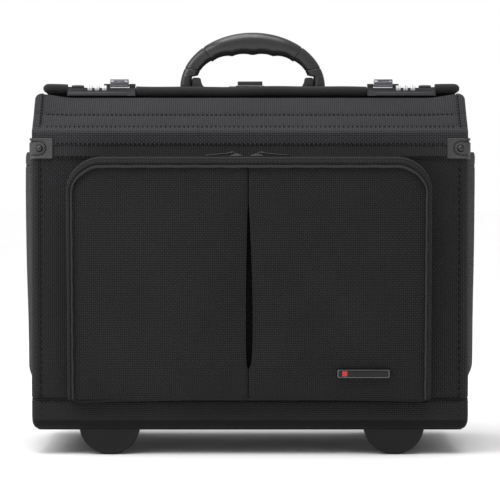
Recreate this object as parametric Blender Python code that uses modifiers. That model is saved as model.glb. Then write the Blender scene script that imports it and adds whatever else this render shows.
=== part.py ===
"""A rolling pilot case: a stiffened fabric box on two wheels and two half-disc feet.

The top opens in two: a sloping front flap folds forward and a rear lid, which carries the handle
and two combination locks, folds back. A two-stage trolley handle slides out behind the lid.

Units are metres. +Z is up, +X is the right of someone facing the case, and the front faces -Y.
The origin is the middle of the whole object's footprint, on the floor.
"""

import math

import bmesh
import bpy
from mathutils import Matrix

# ---- driving dimensions ----
GAP = 0.0003  # between pieces that touch

CASE_WIDTH = 0.480
CASE_DEPTH = 0.230
POCKET_DEPTH = 0.034  # front pocket at its top
POCKET_FOOT_DEPTH = 0.014  # front pocket at its bottom seam
WHEEL_OVERHANG = 0.022  # wheels behind the back panel
SIDE_POCKET_DEPTH = 0.015
BASE_Z = 0.029
BAND_TOP = 0.061
WALL = 0.006
CORNER = 0.0055

SIDE = CASE_WIDTH / 2
FRONT = POCKET_DEPTH - (CASE_DEPTH + POCKET_DEPTH + WHEEL_OVERHANG) / 2
BACK = FRONT + CASE_DEPTH
PANEL_Z = BAND_TOP + GAP
FLOOR_TOP = BASE_Z + 0.005

# corner guards and their rivets
GUARD_IN = 0.2164
GUARD_Z = 0.3377
GUARD_HALF = 0.0114
GUARD_THICK = 0.002
GUARD_SIDE = 0.026  # how far a guard runs back along the side
RIVET_X = 0.2313
RIVET_HEAD_R = 0.0042
RIVET_SHANK_R = 0.0020
RIVET_HOLE_R = 0.0024

# front flap: folds at the crease, and leans back to the lid's front edge
FLAP_HINGE = (FRONT, 0.3556)
FLAP_LENGTH = 0.0682
FLAP_SLOPE = math.radians(34.2)
FLAP_THICK = 0.006

# rear lid
LID_SHIFT = 0.0015  # the lid sits a little to the right on the case
LID_HALF = 0.2335
LID_HINGE = (0.084, 0.397)
LID_BOTTOM = 0.398
LID_TOP = 0.405
BACK_TOP = 0.3965
ROLL_FRONT = -0.050
ROLL_BACK = -0.028
ROLL_BOTTOM = 0.3965
ROLL_TOP = 0.4075

# carry handle
HANDLE_SHIFT = 0.003
HANDLE_HALF = 0.0826
HANDLE_RISE = 0.0628
HANDLE_FOOT_Z = 0.407
HANDLE_PIVOT_Z = 0.414
HANDLE_PIN_R = 0.0025
PIN_PLAY = 0.0004  # between a pin and its bore
ARCH_HALF = 0.064  # the handle's inner arch
ARCH_RISE = 0.0385
ARCH_POWER = 2.6
SCALLOP_PITCH = 0.0232
SCALLOP_DEPTH = 0.0022
LEG_INNER = 0.0695
BRACKET_IN = 0.0530
BRACKET_OUT = 0.0691
GRIP_JOINT_X = 0.0563  # where the grip meets an arm

# combination locks, measured outwards from the lid's middle
LOCK_IN = 0.1300
LOCK_OUT = 0.2062
LOCK_FRONT = -0.0515
LOCK_BACK = -0.0335
LOCK_STEP_Y = -0.0475
LOCK_BOTTOM = 0.3968
LOCK_PLATE_Z = 0.4025
LOCK_TOP = 0.4058
DIAL_R = 0.0040
DIAL_WIDTH = 0.0056
DIAL_PITCH = 0.0081
DIAL_AXIS = (-0.0430, 0.4045)
FIRST_DIAL = 0.1650
DIALS = "abc"
HASP_AXIS = (-0.0365, 0.4085)
HASP_IN = 0.1375
HASP_OUT = 0.1585
HASP_FRONT = 0.0143  # in front of its axis
HASP_LOW = 0.4066
HASP_TOP = 0.4153
KNUCKLE_WIDTH = 0.0068
LATCH_IN = 0.1881
LATCH_OUT = 0.2016
LATCH_Y = (-0.0460, -0.0360)
LATCH_TOP = 0.4091
TONGUE_Y = (-0.0422, -0.0398)
TONGUE_TOP = 0.4075
TONGUE_DEPTH = 0.0016

# trolley handle
TUBE_X = 0.100
TUBE_Y = 0.1035
OUTER_TUBE = (0.0100, 0.0086)
MIDDLE_TUBE = (0.0082, 0.0068)
INNER_TUBE = (0.0064, 0.0050)
DECK_TOP = 0.388
DECK_THICK = 0.004
MIDDLE_TUBE_Z = (0.045, 0.391)
INNER_TUBE_Z = (0.050, 0.3985)
FOOT_BLOCK = (0.018, 0.0054)  # how far the tubes' foot goes past them, and its height
GRIP_HALF = 0.1130
GRIP_TOP = 0.4115
GRIP_SHOULDER_Z = 0.4085
GRIP_END_Z = (0.3935, 0.4045)
GRIP_UNDER_Z = 0.4005
GRIP_DEPTH = 0.0075
BUTTON_HALF = (0.0147, 0.0050)
BUTTON_Z = 0.4068
BUTTON_TOP = 0.4173
PIT_Z = 0.4033
PIT_PLAY = 0.0005

# wheels and feet
WHEEL_X = 0.160
WHEEL_R = 0.030
WHEEL_WIDTH = 0.022
WHEEL_AXLE = (BACK + WHEEL_OVERHANG - WHEEL_R, WHEEL_R)
AXLE_R = 0.004
HOUSING_HALF = 0.0165
HOUSING_FRONT = 0.077
HOUSING_TOP = 0.066
HOUSING_BOTTOM = 0.014
HOUSING_REACH = 0.0265  # behind the axle
WHEEL_PLAY = 0.0025
FOOT_X = 0.157
FOOT_SHIFT = 0.0019
FOOT_R = 0.034
FOOT_CENTRE_Z = 0.0335
FOOT_THICK = 0.022

# front pocket
POCKET_SHIFT = -0.001
POCKET_HALF = 0.198
POCKET_BOTTOM = 0.0625
POCKET_TOP = 0.3275
POCKET_CORNER = 0.037
POCKET_WALL = 0.003
ZIP_Y = -0.1165
SLIDER_HALF = 0.0045
SLIDER_HEIGHT = 0.0034
PULL_PIN_RISE = 0.0048
PULL_HALF = 0.0026
PULL_THICK = 0.0012
PULL_DROOP = 0.0030
BADGE_X = (0.0952, 0.1531)
BADGE_Z = (0.0863, 0.0964)
BADGE_THICK = 0.002

# side pockets
SIDE_POCKET_Y = (-0.075, 0.085)
SIDE_POCKET_Z = (0.081, 0.334)
SIDE_POCKET_WALL = 0.0025

FABRIC = ("black_fabric", (0.020, 0.020, 0.021), 0.85, 0.0)
TRIM = ("black_trim", (0.030, 0.030, 0.031), 0.6, 0.0)
PLASTIC = ("black_plastic", (0.024, 0.024, 0.025), 0.45, 0.0)
GUARD = ("guard_plastic", (0.055, 0.055, 0.058), 0.4, 0.0)
STEEL = ("dark_steel", (0.18, 0.18, 0.19), 0.3, 1.0)
BRIGHT = ("bright_steel", (0.45, 0.45, 0.47), 0.25, 1.0)
TUBE_METAL = ("tube_aluminium", (0.50, 0.50, 0.52), 0.3, 1.0)
WHITE = ("dial_white", (0.75, 0.75, 0.74), 0.4, 0.0)
TYRE = ("wheel_tyre", (0.025, 0.025, 0.026), 0.7, 0.0)
BADGE = ("badge_enamel", (0.012, 0.012, 0.013), 0.15, 0.0)


# ---- helpers ----
def clear_scene():
    for obj in list(bpy.data.objects):
        bpy.data.objects.remove(obj, do_unlink=True)


def new_collection(name):
    collection = bpy.data.collections.new(name)
    bpy.context.scene.collection.children.link(collection)
    return collection


clear_scene()
CASE = new_collection("rolling_pilot_case")
CUTTERS = new_collection("cutters")
CUTTERS.hide_render = True


def finish_of(finish):
    """The Principled material of a (name, colour, roughness, metallic) finish, made once."""
    name, color, roughness, metallic = finish
    material = bpy.data.materials.get(name)
    if material is None:
        material = bpy.data.materials.new(name)
        material.use_nodes = True
        shader = material.node_tree.nodes["Principled BSDF"]
        shader.inputs["Base Color"].default_value = (*color, 1.0)
        shader.inputs["Roughness"].default_value = roughness
        shader.inputs["Metallic"].default_value = metallic
    return material


def add_object(name, mesh, finish):
    obj = bpy.data.objects.new(name, mesh)
    if finish:
        mesh.materials.append(finish_of(finish))
    CASE.objects.link(obj)
    return obj


def from_bmesh(name, bm, finish):
    bmesh.ops.recalc_face_normals(bm, faces=bm.faces)
    mesh = bpy.data.meshes.new(name)
    bm.to_mesh(mesh)
    bm.free()
    return add_object(name, mesh, finish)


def evaluated_bmesh(obj):
    """The object's evaluated shape in world space, with its doubles merged. The object is removed."""
    bpy.context.view_layer.update()
    graph = bpy.context.evaluated_depsgraph_get()
    mesh = bpy.data.meshes.new_from_object(obj.evaluated_get(graph))
    bm = bmesh.new()
    bm.from_mesh(mesh)
    bm.transform(obj.matrix_world)
    bmesh.ops.remove_doubles(bm, verts=bm.verts, dist=1e-6)
    bpy.data.objects.remove(obj, do_unlink=True)
    return bm


def bevel(obj, width, segments=2, angle=30):
    modifier = obj.modifiers.new("edges", "BEVEL")
    modifier.width = width
    modifier.segments = segments
    modifier.limit_method = "ANGLE"
    modifier.angle_limit = math.radians(angle)
    return obj


def cuboid(name, low, high, finish=None, edge=0.0):
    """A box between two corners, given in any order along each axis."""
    size = [abs(h - l) for l, h in zip(low, high)]
    middle = [(l + h) / 2 for l, h in zip(low, high)]
    bm = bmesh.new()
    bmesh.ops.create_cube(bm, size=1, matrix=Matrix.Translation(middle) @ Matrix.Diagonal((*size, 1)))
    obj = from_bmesh(name, bm, finish)
    return bevel(obj, edge) if edge else obj


AXES = {
    "X": Matrix(((0, 0, 1, 0), (1, 0, 0, 0), (0, 1, 0, 0), (0, 0, 0, 1))),
    "Y": Matrix(((1, 0, 0, 0), (0, 0, -1, 0), (0, 1, 0, 0), (0, 0, 0, 1))),
    "Z": Matrix.Identity(4),
}


def outline_solid(name, points, axis, low, high, finish=None):
    """A flat outline extruded along an axis from low to high.

    Its points are (y, z) for X, (x, z) for Y and (x, y) for Z.
    """
    curve = bpy.data.curves.new(name + "_outline", "CURVE")
    curve.dimensions = "2D"
    curve.fill_mode = "BOTH"
    curve.extrude = abs(high - low) / 2
    spline = curve.splines.new("POLY")
    spline.points.add(len(points) - 1)
    for point, (u, v) in zip(spline.points, points):
        point.co = (u, v, 0, 1)
    spline.use_cyclic_u = True
    source = bpy.data.objects.new(name + "_outline", curve)
    CASE.objects.link(source)
    middle = (low + high) / 2
    source.matrix_world = Matrix.Translation([middle if a == axis else 0 for a in "XYZ"]) @ AXES[axis]
    bm = evaluated_bmesh(source)
    bmesh.ops.dissolve_limit(bm, angle_limit=math.radians(0.5), verts=bm.verts, edges=bm.edges)
    return from_bmesh(name, bm, finish)


def rounded(corners, steps=5):
    """An outline from (u, v, radius) corners, each rounded by an arc of its radius."""
    points = []
    for i, (u, v, radius) in enumerate(corners):
        if not radius:
            points.append((u, v))
            continue
        arms = []
        for other in (corners[i - 1], corners[(i + 1) % len(corners)]):
            du, dv = other[0] - u, other[1] - v
            length = math.hypot(du, dv)
            arms.append((du / length, dv / length))
        (au, av), (bu, bv) = arms
        half = math.acos(au * bu + av * bv) / 2
        reach = radius / math.tan(half)
        mu, mv = au + bu, av + bv
        scale = radius / math.sin(half) / math.hypot(mu, mv)
        cu, cv = u + mu * scale, v + mv * scale
        start = math.atan2(v + av * reach - cv, u + au * reach - cu)
        end = math.atan2(v + bv * reach - cv, u + bu * reach - cu)
        turn = (end - start + math.pi) % (2 * math.pi) - math.pi
        for k in range(steps + 1):
            angle = start + turn * k / steps
            points.append((cu + radius * math.cos(angle), cv + radius * math.sin(angle)))
    return points


def turned(name, profile, axis, centre, finish=None, steps=16):
    """A closed (radius, height) profile turned about an axis through centre."""
    bm = bmesh.new()
    verts = [bm.verts.new((radius, 0, height)) for radius, height in profile]
    for i in range(len(verts) - (profile[0][0] == 0)):
        bm.edges.new((verts[i - 1], verts[i]) if profile[0][0] else (verts[i], verts[i + 1]))
    mesh = bpy.data.meshes.new(name)
    bm.to_mesh(mesh)
    bm.free()
    source = bpy.data.objects.new(name + "_profile", mesh)
    CASE.objects.link(source)
    screw = source.modifiers.new("turn", "SCREW")
    screw.steps = steps
    screw.render_steps = steps
    screw.use_merge_vertices = True
    screw.merge_threshold = 0.00001
    source.matrix_world = Matrix.Translation(centre) @ AXES[axis]
    obj = from_bmesh(name, evaluated_bmesh(source), finish)
    obj.data.shade_smooth()
    obj.data.set_sharp_from_angle(angle=math.radians(35))
    return obj


def rod(name, radius, axis, centre, length, finish=None, steps=16):
    half = length / 2
    return turned(name, [(0, half), (radius, half), (radius, -half), (0, -half)], axis, centre, finish, steps)


def tube(name, radii, axis, centre, length, finish=None, steps=20):
    half = length / 2
    outer, inner = radii
    profile = [(outer, half), (outer, -half), (inner, -half), (inner, half)]
    return turned(name, profile, axis, centre, finish, steps)


def combine(obj, operation, *operands):
    for operand in operands:
        modifier = obj.modifiers.new(operation.lower(), "BOOLEAN")
        modifier.operation = operation
        modifier.solver = "EXACT"
        modifier.object = operand
        CASE.objects.unlink(operand)
        CUTTERS.objects.link(operand)
        operand.hide_render = True
        operand.display_type = "WIRE"
    return obj


def cut(obj, *cutters):
    return combine(obj, "DIFFERENCE", *cutters)


def join(obj, *others):
    return combine(obj, "UNION", *others)


def pivot(name, location, parent=None):
    """An empty on a joint's axis."""
    empty = bpy.data.objects.new(name, None)
    empty.empty_display_size = 0.02
    CASE.objects.link(empty)
    empty.location = location
    if parent:
        empty.parent = parent
        empty.matrix_parent_inverse = Matrix.Translation(parent["at"]).inverted()
    empty["at"] = location
    return empty


def hang(empty, *objects):
    """Parents pieces to a joint's empty, and leaves them where they are."""
    for obj in objects:
        obj.parent = empty
        obj.matrix_parent_inverse = Matrix.Translation(empty["at"]).inverted()


def side_name(name, side):
    return f"{name}_{'left' if side < 0 else 'right'}"


# ---- case shell ----
def wheel_well(name, side):
    """The space a wheel housing takes out of the case's lower rear corner."""
    clear = HOUSING_HALF + GAP
    middle = side * WHEEL_X
    low = (middle - clear, HOUSING_FRONT - GAP, -0.01)
    return cuboid(f"{name}_{side}", low, (middle + clear, BACK + 0.05, HOUSING_TOP + GAP))


def bottom_tray():
    tray = cuboid("bottom_tray", (-SIDE, FRONT, BASE_Z), (SIDE, BACK, BAND_TOP + 0.02), FABRIC, CORNER)
    top = cuboid("tray_top", (-0.3, -0.2, BAND_TOP), (0.3, 0.2, 0.1))
    low = (WALL - SIDE, FRONT + WALL, FLOOR_TOP)
    cut(tray, top, cuboid("tray_inside", low, (SIDE - WALL, BACK - WALL, 0.1)))
    cut(tray, *[wheel_well("tray_well", side) for side in (-1, 1)])


def rivet_hole(name, side):
    at = (side * RIVET_X, FRONT, GUARD_Z)
    return rod(f"{name}_{side}", RIVET_HOLE_R, "Y", at, 0.03, None, 12)


def front_panel():
    inside = FRONT + WALL
    corners = [(-SIDE, FRONT, CORNER), (SIDE, FRONT, CORNER), (SIDE, inside, 0), (-SIDE, inside, 0)]
    panel = outline_solid("front_panel", rounded(corners), "Z", PANEL_Z, FLAP_HINGE[1] - 0.0009, FABRIC)
    cut(panel, *[rivet_hole("panel_hole", side) for side in (-1, 1)])


def back_panel():
    inside = BACK - WALL
    corners = [(-SIDE, inside, 0), (SIDE, inside, 0), (SIDE, BACK, CORNER), (-SIDE, BACK, CORNER)]
    panel = outline_solid("back_panel", rounded(corners), "Z", PANEL_Z, BACK_TOP, FABRIC)
    cut(panel, *[wheel_well("back_well", side) for side in (-1, 1)])


def flap_point(along, inward):
    """A (y, z) point measured up the closed flap from its hinge, and in from its outer face."""
    u, v = math.cos(FLAP_SLOPE), math.sin(FLAP_SLOPE)
    hinge_y, hinge_z = FLAP_HINGE
    return hinge_y + along * u + inward * v, hinge_z + 0.0006 + along * v - inward * u


def side_panels():
    under = FLAP_THICK + 0.0006
    rise = (under * math.cos(FLAP_SLOPE) - 0.001) / math.sin(FLAP_SLOPE)
    low_y, low_z = flap_point(rise, under)
    top_y, top_z = flap_point(FLAP_LENGTH + 0.002, under)
    ridge = ROLL_BOTTOM - 0.0008
    start, end = FRONT + WALL + GAP, BACK - WALL - GAP
    outline = [(start, PANEL_Z), (start, low_z), (low_y, low_z), (top_y, top_z)]
    outline += [(top_y, ridge), (end, ridge), (end, PANEL_Z)]
    for side in (-1, 1):
        inner, outer = sorted((side * (SIDE - WALL), side * SIDE))
        outline_solid(side_name("side_panel", side), outline, "X", inner, outer, FABRIC)


def trolley_deck():
    """The trough behind the lid, with the trolley tubes through its floor."""
    start, end = LID_HINGE[0] + 0.0005, BACK - WALL - GAP
    bottom = DECK_TOP - DECK_THICK
    lip = start + 0.004
    outline = [(start, bottom), (start, LID_HINGE[1] - 0.0008), (lip, LID_HINGE[1] - 0.0008), (lip, DECK_TOP)]
    outline += [(end, DECK_TOP), (end, bottom)]
    half = SIDE - WALL - GAP
    deck = outline_solid("trolley_deck", outline, "X", -half, half, PLASTIC)
    radius = OUTER_TUBE[0] + 0.0005
    for side in (-1, 1):
        at = (side * TUBE_X, TUBE_Y, DECK_TOP)
        cut(deck, rod(f"deck_hole_{side}", radius, "Z", at, 0.03, None, 20))


def tube_cover():
    """The inner board that keeps the load off the trolley tubes."""
    half = SIDE - WALL - GAP
    start = LID_HINGE[0] + 0.0005
    top = DECK_TOP - DECK_THICK - GAP
    cover = cuboid("tube_cover", (-half, start, FLOOR_TOP + GAP), (half, start + 0.003, top), TRIM)
    cut(cover, *[wheel_well("cover_well", side) for side in (-1, 1)])


# ---- corner guards ----
def corner_guards():
    near = FRONT - GAP
    far = near - GUARD_THICK
    wide = SIDE + GAP
    for side in (-1, 1):
        corners = [(GUARD_IN, far, 0), (wide + GUARD_THICK, far, CORNER + GAP + GUARD_THICK)]
        corners += [(wide + GUARD_THICK, FRONT + GUARD_SIDE, 0), (wide, FRONT + GUARD_SIDE, 0)]
        corners += [(wide, near, CORNER + GAP), (GUARD_IN, near, 0)]
        outline = [(side * x, y) for x, y in rounded(corners)]
        name = side_name("corner_guard", side)
        guard = outline_solid(name, outline, "Z", GUARD_Z - GUARD_HALF, GUARD_Z + GUARD_HALF, GUARD)
        cut(guard, rivet_hole("guard_hole", side))
        rivet(side, far - GAP)


def rivet(side, face):
    """A domed head on a face, and its shank through the guard and the panel."""
    rise, under, depth = 0.0018, -0.0001, -0.0078
    angles = [math.pi / 2 * k / 4 for k in range(3, -1, -1)]
    dome = [(0, rise)] + [(RIVET_HEAD_R * math.cos(a), rise * math.sin(a)) for a in angles]
    shank = [(RIVET_HEAD_R, under), (RIVET_SHANK_R, under), (RIVET_SHANK_R, depth), (0, depth)]
    turned(side_name("corner_rivet", side), dome + shank, "Y", (side * RIVET_X, face, GUARD_Z), STEEL, 12)


# ---- front flap and rear lid ----
def front_flap():
    hinge = pivot("front_flap_hinge", (0, *FLAP_HINGE))
    hem = flap_point(0, 0)[1]
    rise = (FLAP_THICK * math.cos(FLAP_SLOPE)) / math.sin(FLAP_SLOPE)
    outline = [flap_point(0, 0), flap_point(FLAP_LENGTH, 0), flap_point(FLAP_LENGTH, FLAP_THICK)]
    outline.append((flap_point(rise, FLAP_THICK)[0], hem))
    hang(hinge, outline_solid("front_flap", outline, "X", -SIDE, SIDE, FABRIC))
    near, deep = FLAP_THICK + GAP, FLAP_THICK + GAP + 0.0012
    start, end = 0.053, 0.0665
    strike = [flap_point(start, near), flap_point(end, near), flap_point(end, deep), flap_point(start, deep)]
    for side in (-1, 1):
        low, high = sorted(LID_SHIFT + side * x for x in (HASP_IN - 0.003, HASP_OUT + 0.029))
        hang(hinge, outline_solid(side_name("lock_strike", side), strike, "X", low, high, STEEL))


def rear_lid(hinge):
    left, right = LID_SHIFT - LID_HALF, LID_SHIFT + LID_HALF
    board_low = (left, ROLL_BACK + GAP, LID_BOTTOM)
    board = cuboid("rear_lid", board_low, (right, LID_HINGE[0] - 0.0005, LID_TOP), FABRIC, 0.0015)
    roll_low = (left, ROLL_FRONT, ROLL_BOTTOM)
    roll = cuboid("lid_edge_roll", roll_low, (right, ROLL_BACK, ROLL_TOP), FABRIC, 0.0035)
    for side in (-1, 1):
        low = (LID_SHIFT + side * (LOCK_IN - 0.0007), ROLL_FRONT - 0.01, 0.38)
        high = (LID_SHIFT + side * (LOCK_OUT + 0.0007), LOCK_BACK + 0.0005, 0.42)
        cut(roll, cuboid(f"lock_notch_{side}", low, high))
    hang(hinge, board, roll)


# ---- carry handle ----
def outer_edge(x):
    return HANDLE_FOOT_Z + HANDLE_RISE * math.sqrt(max(0.0, 1 - (x / HANDLE_HALF) ** 2))


def inner_edge(x):
    """The arch under the handle, with four finger scallops along its middle."""
    rise = max(0.0, 1 - (abs(x) / ARCH_HALF) ** ARCH_POWER) ** (1 / ARCH_POWER)
    ridge = SCALLOP_DEPTH * (1 - abs(math.sin(math.pi * x / SCALLOP_PITCH)))
    return HANDLE_FOOT_Z + ARCH_RISE * rise - ridge * (abs(x) < 2 * SCALLOP_PITCH)


def spread(low, high, count):
    return [low + (high - low) * k / (count - 1) for k in range(count)]


def carry_handle(lid_hinge):
    hinge = pivot("carry_handle_hinge", (HANDLE_SHIFT, 0, HANDLE_PIVOT_Z), lid_hinge)
    outer_x, inner_x = GRIP_JOINT_X + 0.0026, GRIP_JOINT_X - 0.0026
    top = [(HANDLE_SHIFT + x, outer_edge(x)) for x in spread(-outer_x, outer_x, 21)]
    under = [(HANDLE_SHIFT + x, inner_edge(x)) for x in spread(inner_x, -inner_x, 41)]
    grip = outline_solid("handle_grip", top + under, "Y", -0.012, 0.012, PLASTIC)
    hang(hinge, bevel(grip, 0.006, 2, 50))
    for side in (-1, 1):
        hang(hinge, handle_arm(side, outer_x + GAP, inner_x + GAP))
        bracket = handle_bracket(side)
        pin_at = (HANDLE_SHIFT + side * 0.0705, 0, HANDLE_PIVOT_Z)
        pin = rod(side_name("handle_pin", side), HANDLE_PIN_R, "X", pin_at, 0.021, STEEL, 16)
        hang(lid_hinge, bracket, pin)


def handle_arm(side, outer_x, inner_x):
    """An arm from its foot beside the bracket, which it clears by a step, up to the grip."""
    angles = spread(math.acos(outer_x / HANDLE_HALF), 0, 9)
    outline = [(HANDLE_HALF * math.cos(a), HANDLE_FOOT_Z + HANDLE_RISE * math.sin(a)) for a in angles]
    step = HANDLE_FOOT_Z + 0.0126
    outline += [(LEG_INNER, HANDLE_FOOT_Z), (LEG_INNER, step), (0.0616, step + 0.0011)]
    outline += [(x, inner_edge(x)) for x in spread(0.0614, inner_x, 6)]
    outline = [(HANDLE_SHIFT + side * x, z) for x, z in outline]
    arm = outline_solid(side_name("handle_arm", side), outline, "Y", -0.0065, 0.0065, PLASTIC)
    bevel(arm, 0.0032, 2, 50)
    at = (HANDLE_SHIFT + side * 0.075, 0, HANDLE_PIVOT_Z)
    return cut(arm, rod(f"arm_bore_{side}", HANDLE_PIN_R + PIN_PLAY, "X", at, 0.03, None, 16))


def handle_bracket(side):
    """A flared post, with a bore for the handle's pin."""
    foot, crown, corner = LID_TOP + GAP, HANDLE_PIVOT_Z + 0.0045, 0.001
    neck = BRACKET_IN + 0.0059
    outline = [(BRACKET_IN, foot), (BRACKET_IN, foot + 0.002), (neck - 0.0014, foot + 0.0045)]
    outline += [(neck, foot + 0.008), (neck, crown - corner), (neck + corner, crown)]
    outline += [(BRACKET_OUT - corner, crown), (BRACKET_OUT, crown - corner), (BRACKET_OUT, foot)]
    outline = [(HANDLE_SHIFT + side * x, z) for x, z in outline]
    bracket = outline_solid(side_name("handle_bracket", side), outline, "Y", -0.0042, 0.0042, PLASTIC)
    bevel(bracket, 0.0012, 1, 50)
    at = (HANDLE_SHIFT + side * 0.064, 0, HANDLE_PIVOT_Z)
    return cut(bracket, rod(f"bracket_bore_{side}", HANDLE_PIN_R + PIN_PLAY, "X", at, 0.03, None, 16))


# ---- combination locks ----
def lock_base(side):
    """The lock's body: a stepped plate with three dial slots, and the hasp's knuckles and pin."""
    low, high = sorted(LID_SHIFT + side * x for x in (LOCK_IN, LOCK_OUT))
    outline = [(LOCK_FRONT, LOCK_BOTTOM), (LOCK_FRONT, LOCK_PLATE_Z), (LOCK_STEP_Y, LOCK_PLATE_Z)]
    outline += [(LOCK_STEP_Y, LOCK_TOP), (LOCK_BACK, LOCK_TOP), (LOCK_BACK, LOCK_BOTTOM)]
    base = outline_solid(side_name("lock_base", side), outline, "X", low, high, STEEL)
    dial_y, dial_z = DIAL_AXIS
    for k, letter in enumerate(DIALS):
        middle = LID_SHIFT + side * (FIRST_DIAL + DIAL_PITCH * k)
        half = DIAL_WIDTH / 2 + GAP
        room = DIAL_R + 0.0004
        corner = (middle - half, LOCK_STEP_Y - 0.001, dial_z - room)
        cut(base, cuboid(f"dial_slot_{letter}_{side}", corner, (middle + half, dial_y + room, 0.42)))
    groove_low = (LID_SHIFT + side * (LATCH_IN + 0.0015), TONGUE_Y[0] - GAP, LOCK_TOP - 0.002)
    groove_high = (LID_SHIFT + side * (LATCH_OUT + 0.0025), TONGUE_Y[1] + GAP, 0.42)
    cut(base, cuboid(f"latch_groove_{side}", groove_low, groove_high))
    middle = LID_SHIFT + side * (FIRST_DIAL + DIAL_PITCH)
    join(base, rod(f"dial_axle_{side}", 0.0009, "X", (middle, dial_y, dial_z), DIAL_PITCH * 3.05, None, 8))
    hasp_y, hasp_z = HASP_AXIS
    for start in (HASP_IN - GAP - KNUCKLE_WIDTH, HASP_OUT + GAP):
        knuckle = (LID_SHIFT + side * start, hasp_y - 0.002, LOCK_TOP - 0.001)
        far = (LID_SHIFT + side * (start + KNUCKLE_WIDTH), hasp_y + 0.002, hasp_z + 0.0019)
        join(base, cuboid(f"knuckle_{start:.3f}_{side}", knuckle, far))
    middle = LID_SHIFT + side * (HASP_IN + HASP_OUT) / 2
    span = HASP_OUT - HASP_IN + 0.006
    join(base, rod(f"hasp_pin_{side}", 0.0009, "X", (middle, hasp_y, hasp_z), span, None, 8))
    return base


def dial(letter, k, side, lid_hinge):
    at = (LID_SHIFT + side * (FIRST_DIAL + DIAL_PITCH * k), *DIAL_AXIS)
    name = f"{side_name('lock_dial', side)}_{letter}"
    axle = pivot(name + "_axle", at, lid_hinge)
    hang(axle, tube(name, (DIAL_R, 0.0013), "X", at, DIAL_WIDTH, WHITE, 20))


def hasp(side, lid_hinge):
    y, z = HASP_AXIS
    low, high = sorted(LID_SHIFT + side * x for x in (HASP_IN, HASP_OUT))
    axis = pivot(side_name("hasp_hinge", side), ((low + high) / 2, y, z), lid_hinge)
    outline = [(y - HASP_FRONT, HASP_LOW), (y - HASP_FRONT, HASP_TOP - 0.0038)]
    outline += [(y - 0.0105, HASP_TOP), (y - 0.0035, HASP_TOP), (y + 0.0013, HASP_TOP - 0.0045)]
    outline += [(y + 0.0022, z), (y + 0.0013, z - 0.0022), (y - 0.0100, HASP_LOW - 0.0002)]
    lever = outline_solid(side_name("lock_hasp", side), outline, "X", low, high, BRIGHT)
    cut(lever, rod(f"hasp_bore_{side}", 0.0013, "X", ((low + high) / 2, y, z), 0.05, None, 8))
    hang(axis, lever)


def latch(side, lid_hinge):
    """The sliding release: a block on the lock's top, with a tongue in its groove."""
    near, far = LID_SHIFT + side * LATCH_IN, LID_SHIFT + side * LATCH_OUT
    low, high = (near, LATCH_Y[0], LOCK_TOP + GAP), (far, LATCH_Y[1], LATCH_TOP)
    block = cuboid(side_name("lock_latch", side), low, high, STEEL, 0.0006)
    inset = side * 0.0025
    low = (near + inset, TONGUE_Y[0], LOCK_TOP - TONGUE_DEPTH)
    join(block, cuboid(f"latch_tongue_{side}", low, (far - inset, TONGUE_Y[1], TONGUE_TOP)))
    hang(lid_hinge, block)


def locks(lid_hinge):
    for side in (-1, 1):
        hang(lid_hinge, lock_base(side))
        for k, letter in enumerate(DIALS):
            dial(letter, k, side, lid_hinge)
        hasp(side, lid_hinge)
        latch(side, lid_hinge)


# ---- trolley handle ----
def standing_tube(name, side, radii, bottom, top, finish):
    at = (side * TUBE_X, TUBE_Y, (bottom + top) / 2)
    return tube(side_name(name, side), radii, "Z", at, top - bottom, finish)


def trolley():
    bottom = FLOOR_TOP + GAP
    past, height = FOOT_BLOCK
    foot_top = bottom + height
    foot_low = (-TUBE_X - past, LID_HINGE[0] + 0.0045, bottom)
    cuboid("trolley_foot", foot_low, (TUBE_X + past, BACK - WALL - GAP, foot_top), PLASTIC, 0.001)
    middle_slide = pivot("trolley_middle_slide", (0, TUBE_Y, DECK_TOP))
    inner_slide = pivot("trolley_inner_slide", (0, TUBE_Y, DECK_TOP), middle_slide)
    for side in (-1, 1):
        standing_tube("trolley_outer_tube", side, OUTER_TUBE, foot_top + GAP, DECK_TOP, TUBE_METAL)
        middle = standing_tube("trolley_middle_tube", side, MIDDLE_TUBE, *MIDDLE_TUBE_Z, TUBE_METAL)
        hang(middle_slide, middle)
        inner = standing_tube("trolley_inner_tube", side, INNER_TUBE, *INNER_TUBE_Z, TUBE_METAL)
        hang(inner_slide, inner)
    hang(inner_slide, trolley_grip())
    wide, deep = BUTTON_HALF
    low, high = (-wide, TUBE_Y - deep, BUTTON_Z), (wide, TUBE_Y + deep, BUTTON_TOP)
    button = cuboid("trolley_button", low, high, PLASTIC, 0.001)
    press = pivot("trolley_button_press", (0, TUBE_Y, BUTTON_TOP), inner_slide)
    hang(press, button)


def trolley_grip():
    """A bar with a raised middle for its button, and ends that drop round the tubes."""
    end_low, end_high = GRIP_END_Z
    half = [(0.0255, GRIP_TOP), (0.0270, GRIP_SHOULDER_Z), (0.0600, GRIP_SHOULDER_Z)]
    half += [(GRIP_HALF, end_high), (GRIP_HALF, end_low), (0.0880, end_low), (0.0750, GRIP_UNDER_Z)]
    outline = half + [(-x, z) for x, z in reversed(half)]
    grip = outline_solid("trolley_grip", outline, "Y", TUBE_Y - GRIP_DEPTH, TUBE_Y + GRIP_DEPTH, PLASTIC)
    bevel(grip, 0.0015, 1, 50)
    wide, deep = (half_size + PIT_PLAY for half_size in BUTTON_HALF)
    cut(grip, cuboid("button_pit", (-wide, TUBE_Y - deep, PIT_Z), (wide, TUBE_Y + deep, 0.42)))
    for side in (-1, 1):
        at = (side * TUBE_X, TUBE_Y, 0.389)
        cut(grip, rod(f"grip_socket_{side}", INNER_TUBE[0] + 0.0005, "Z", at, 0.02, None, 20))
    return grip


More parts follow.
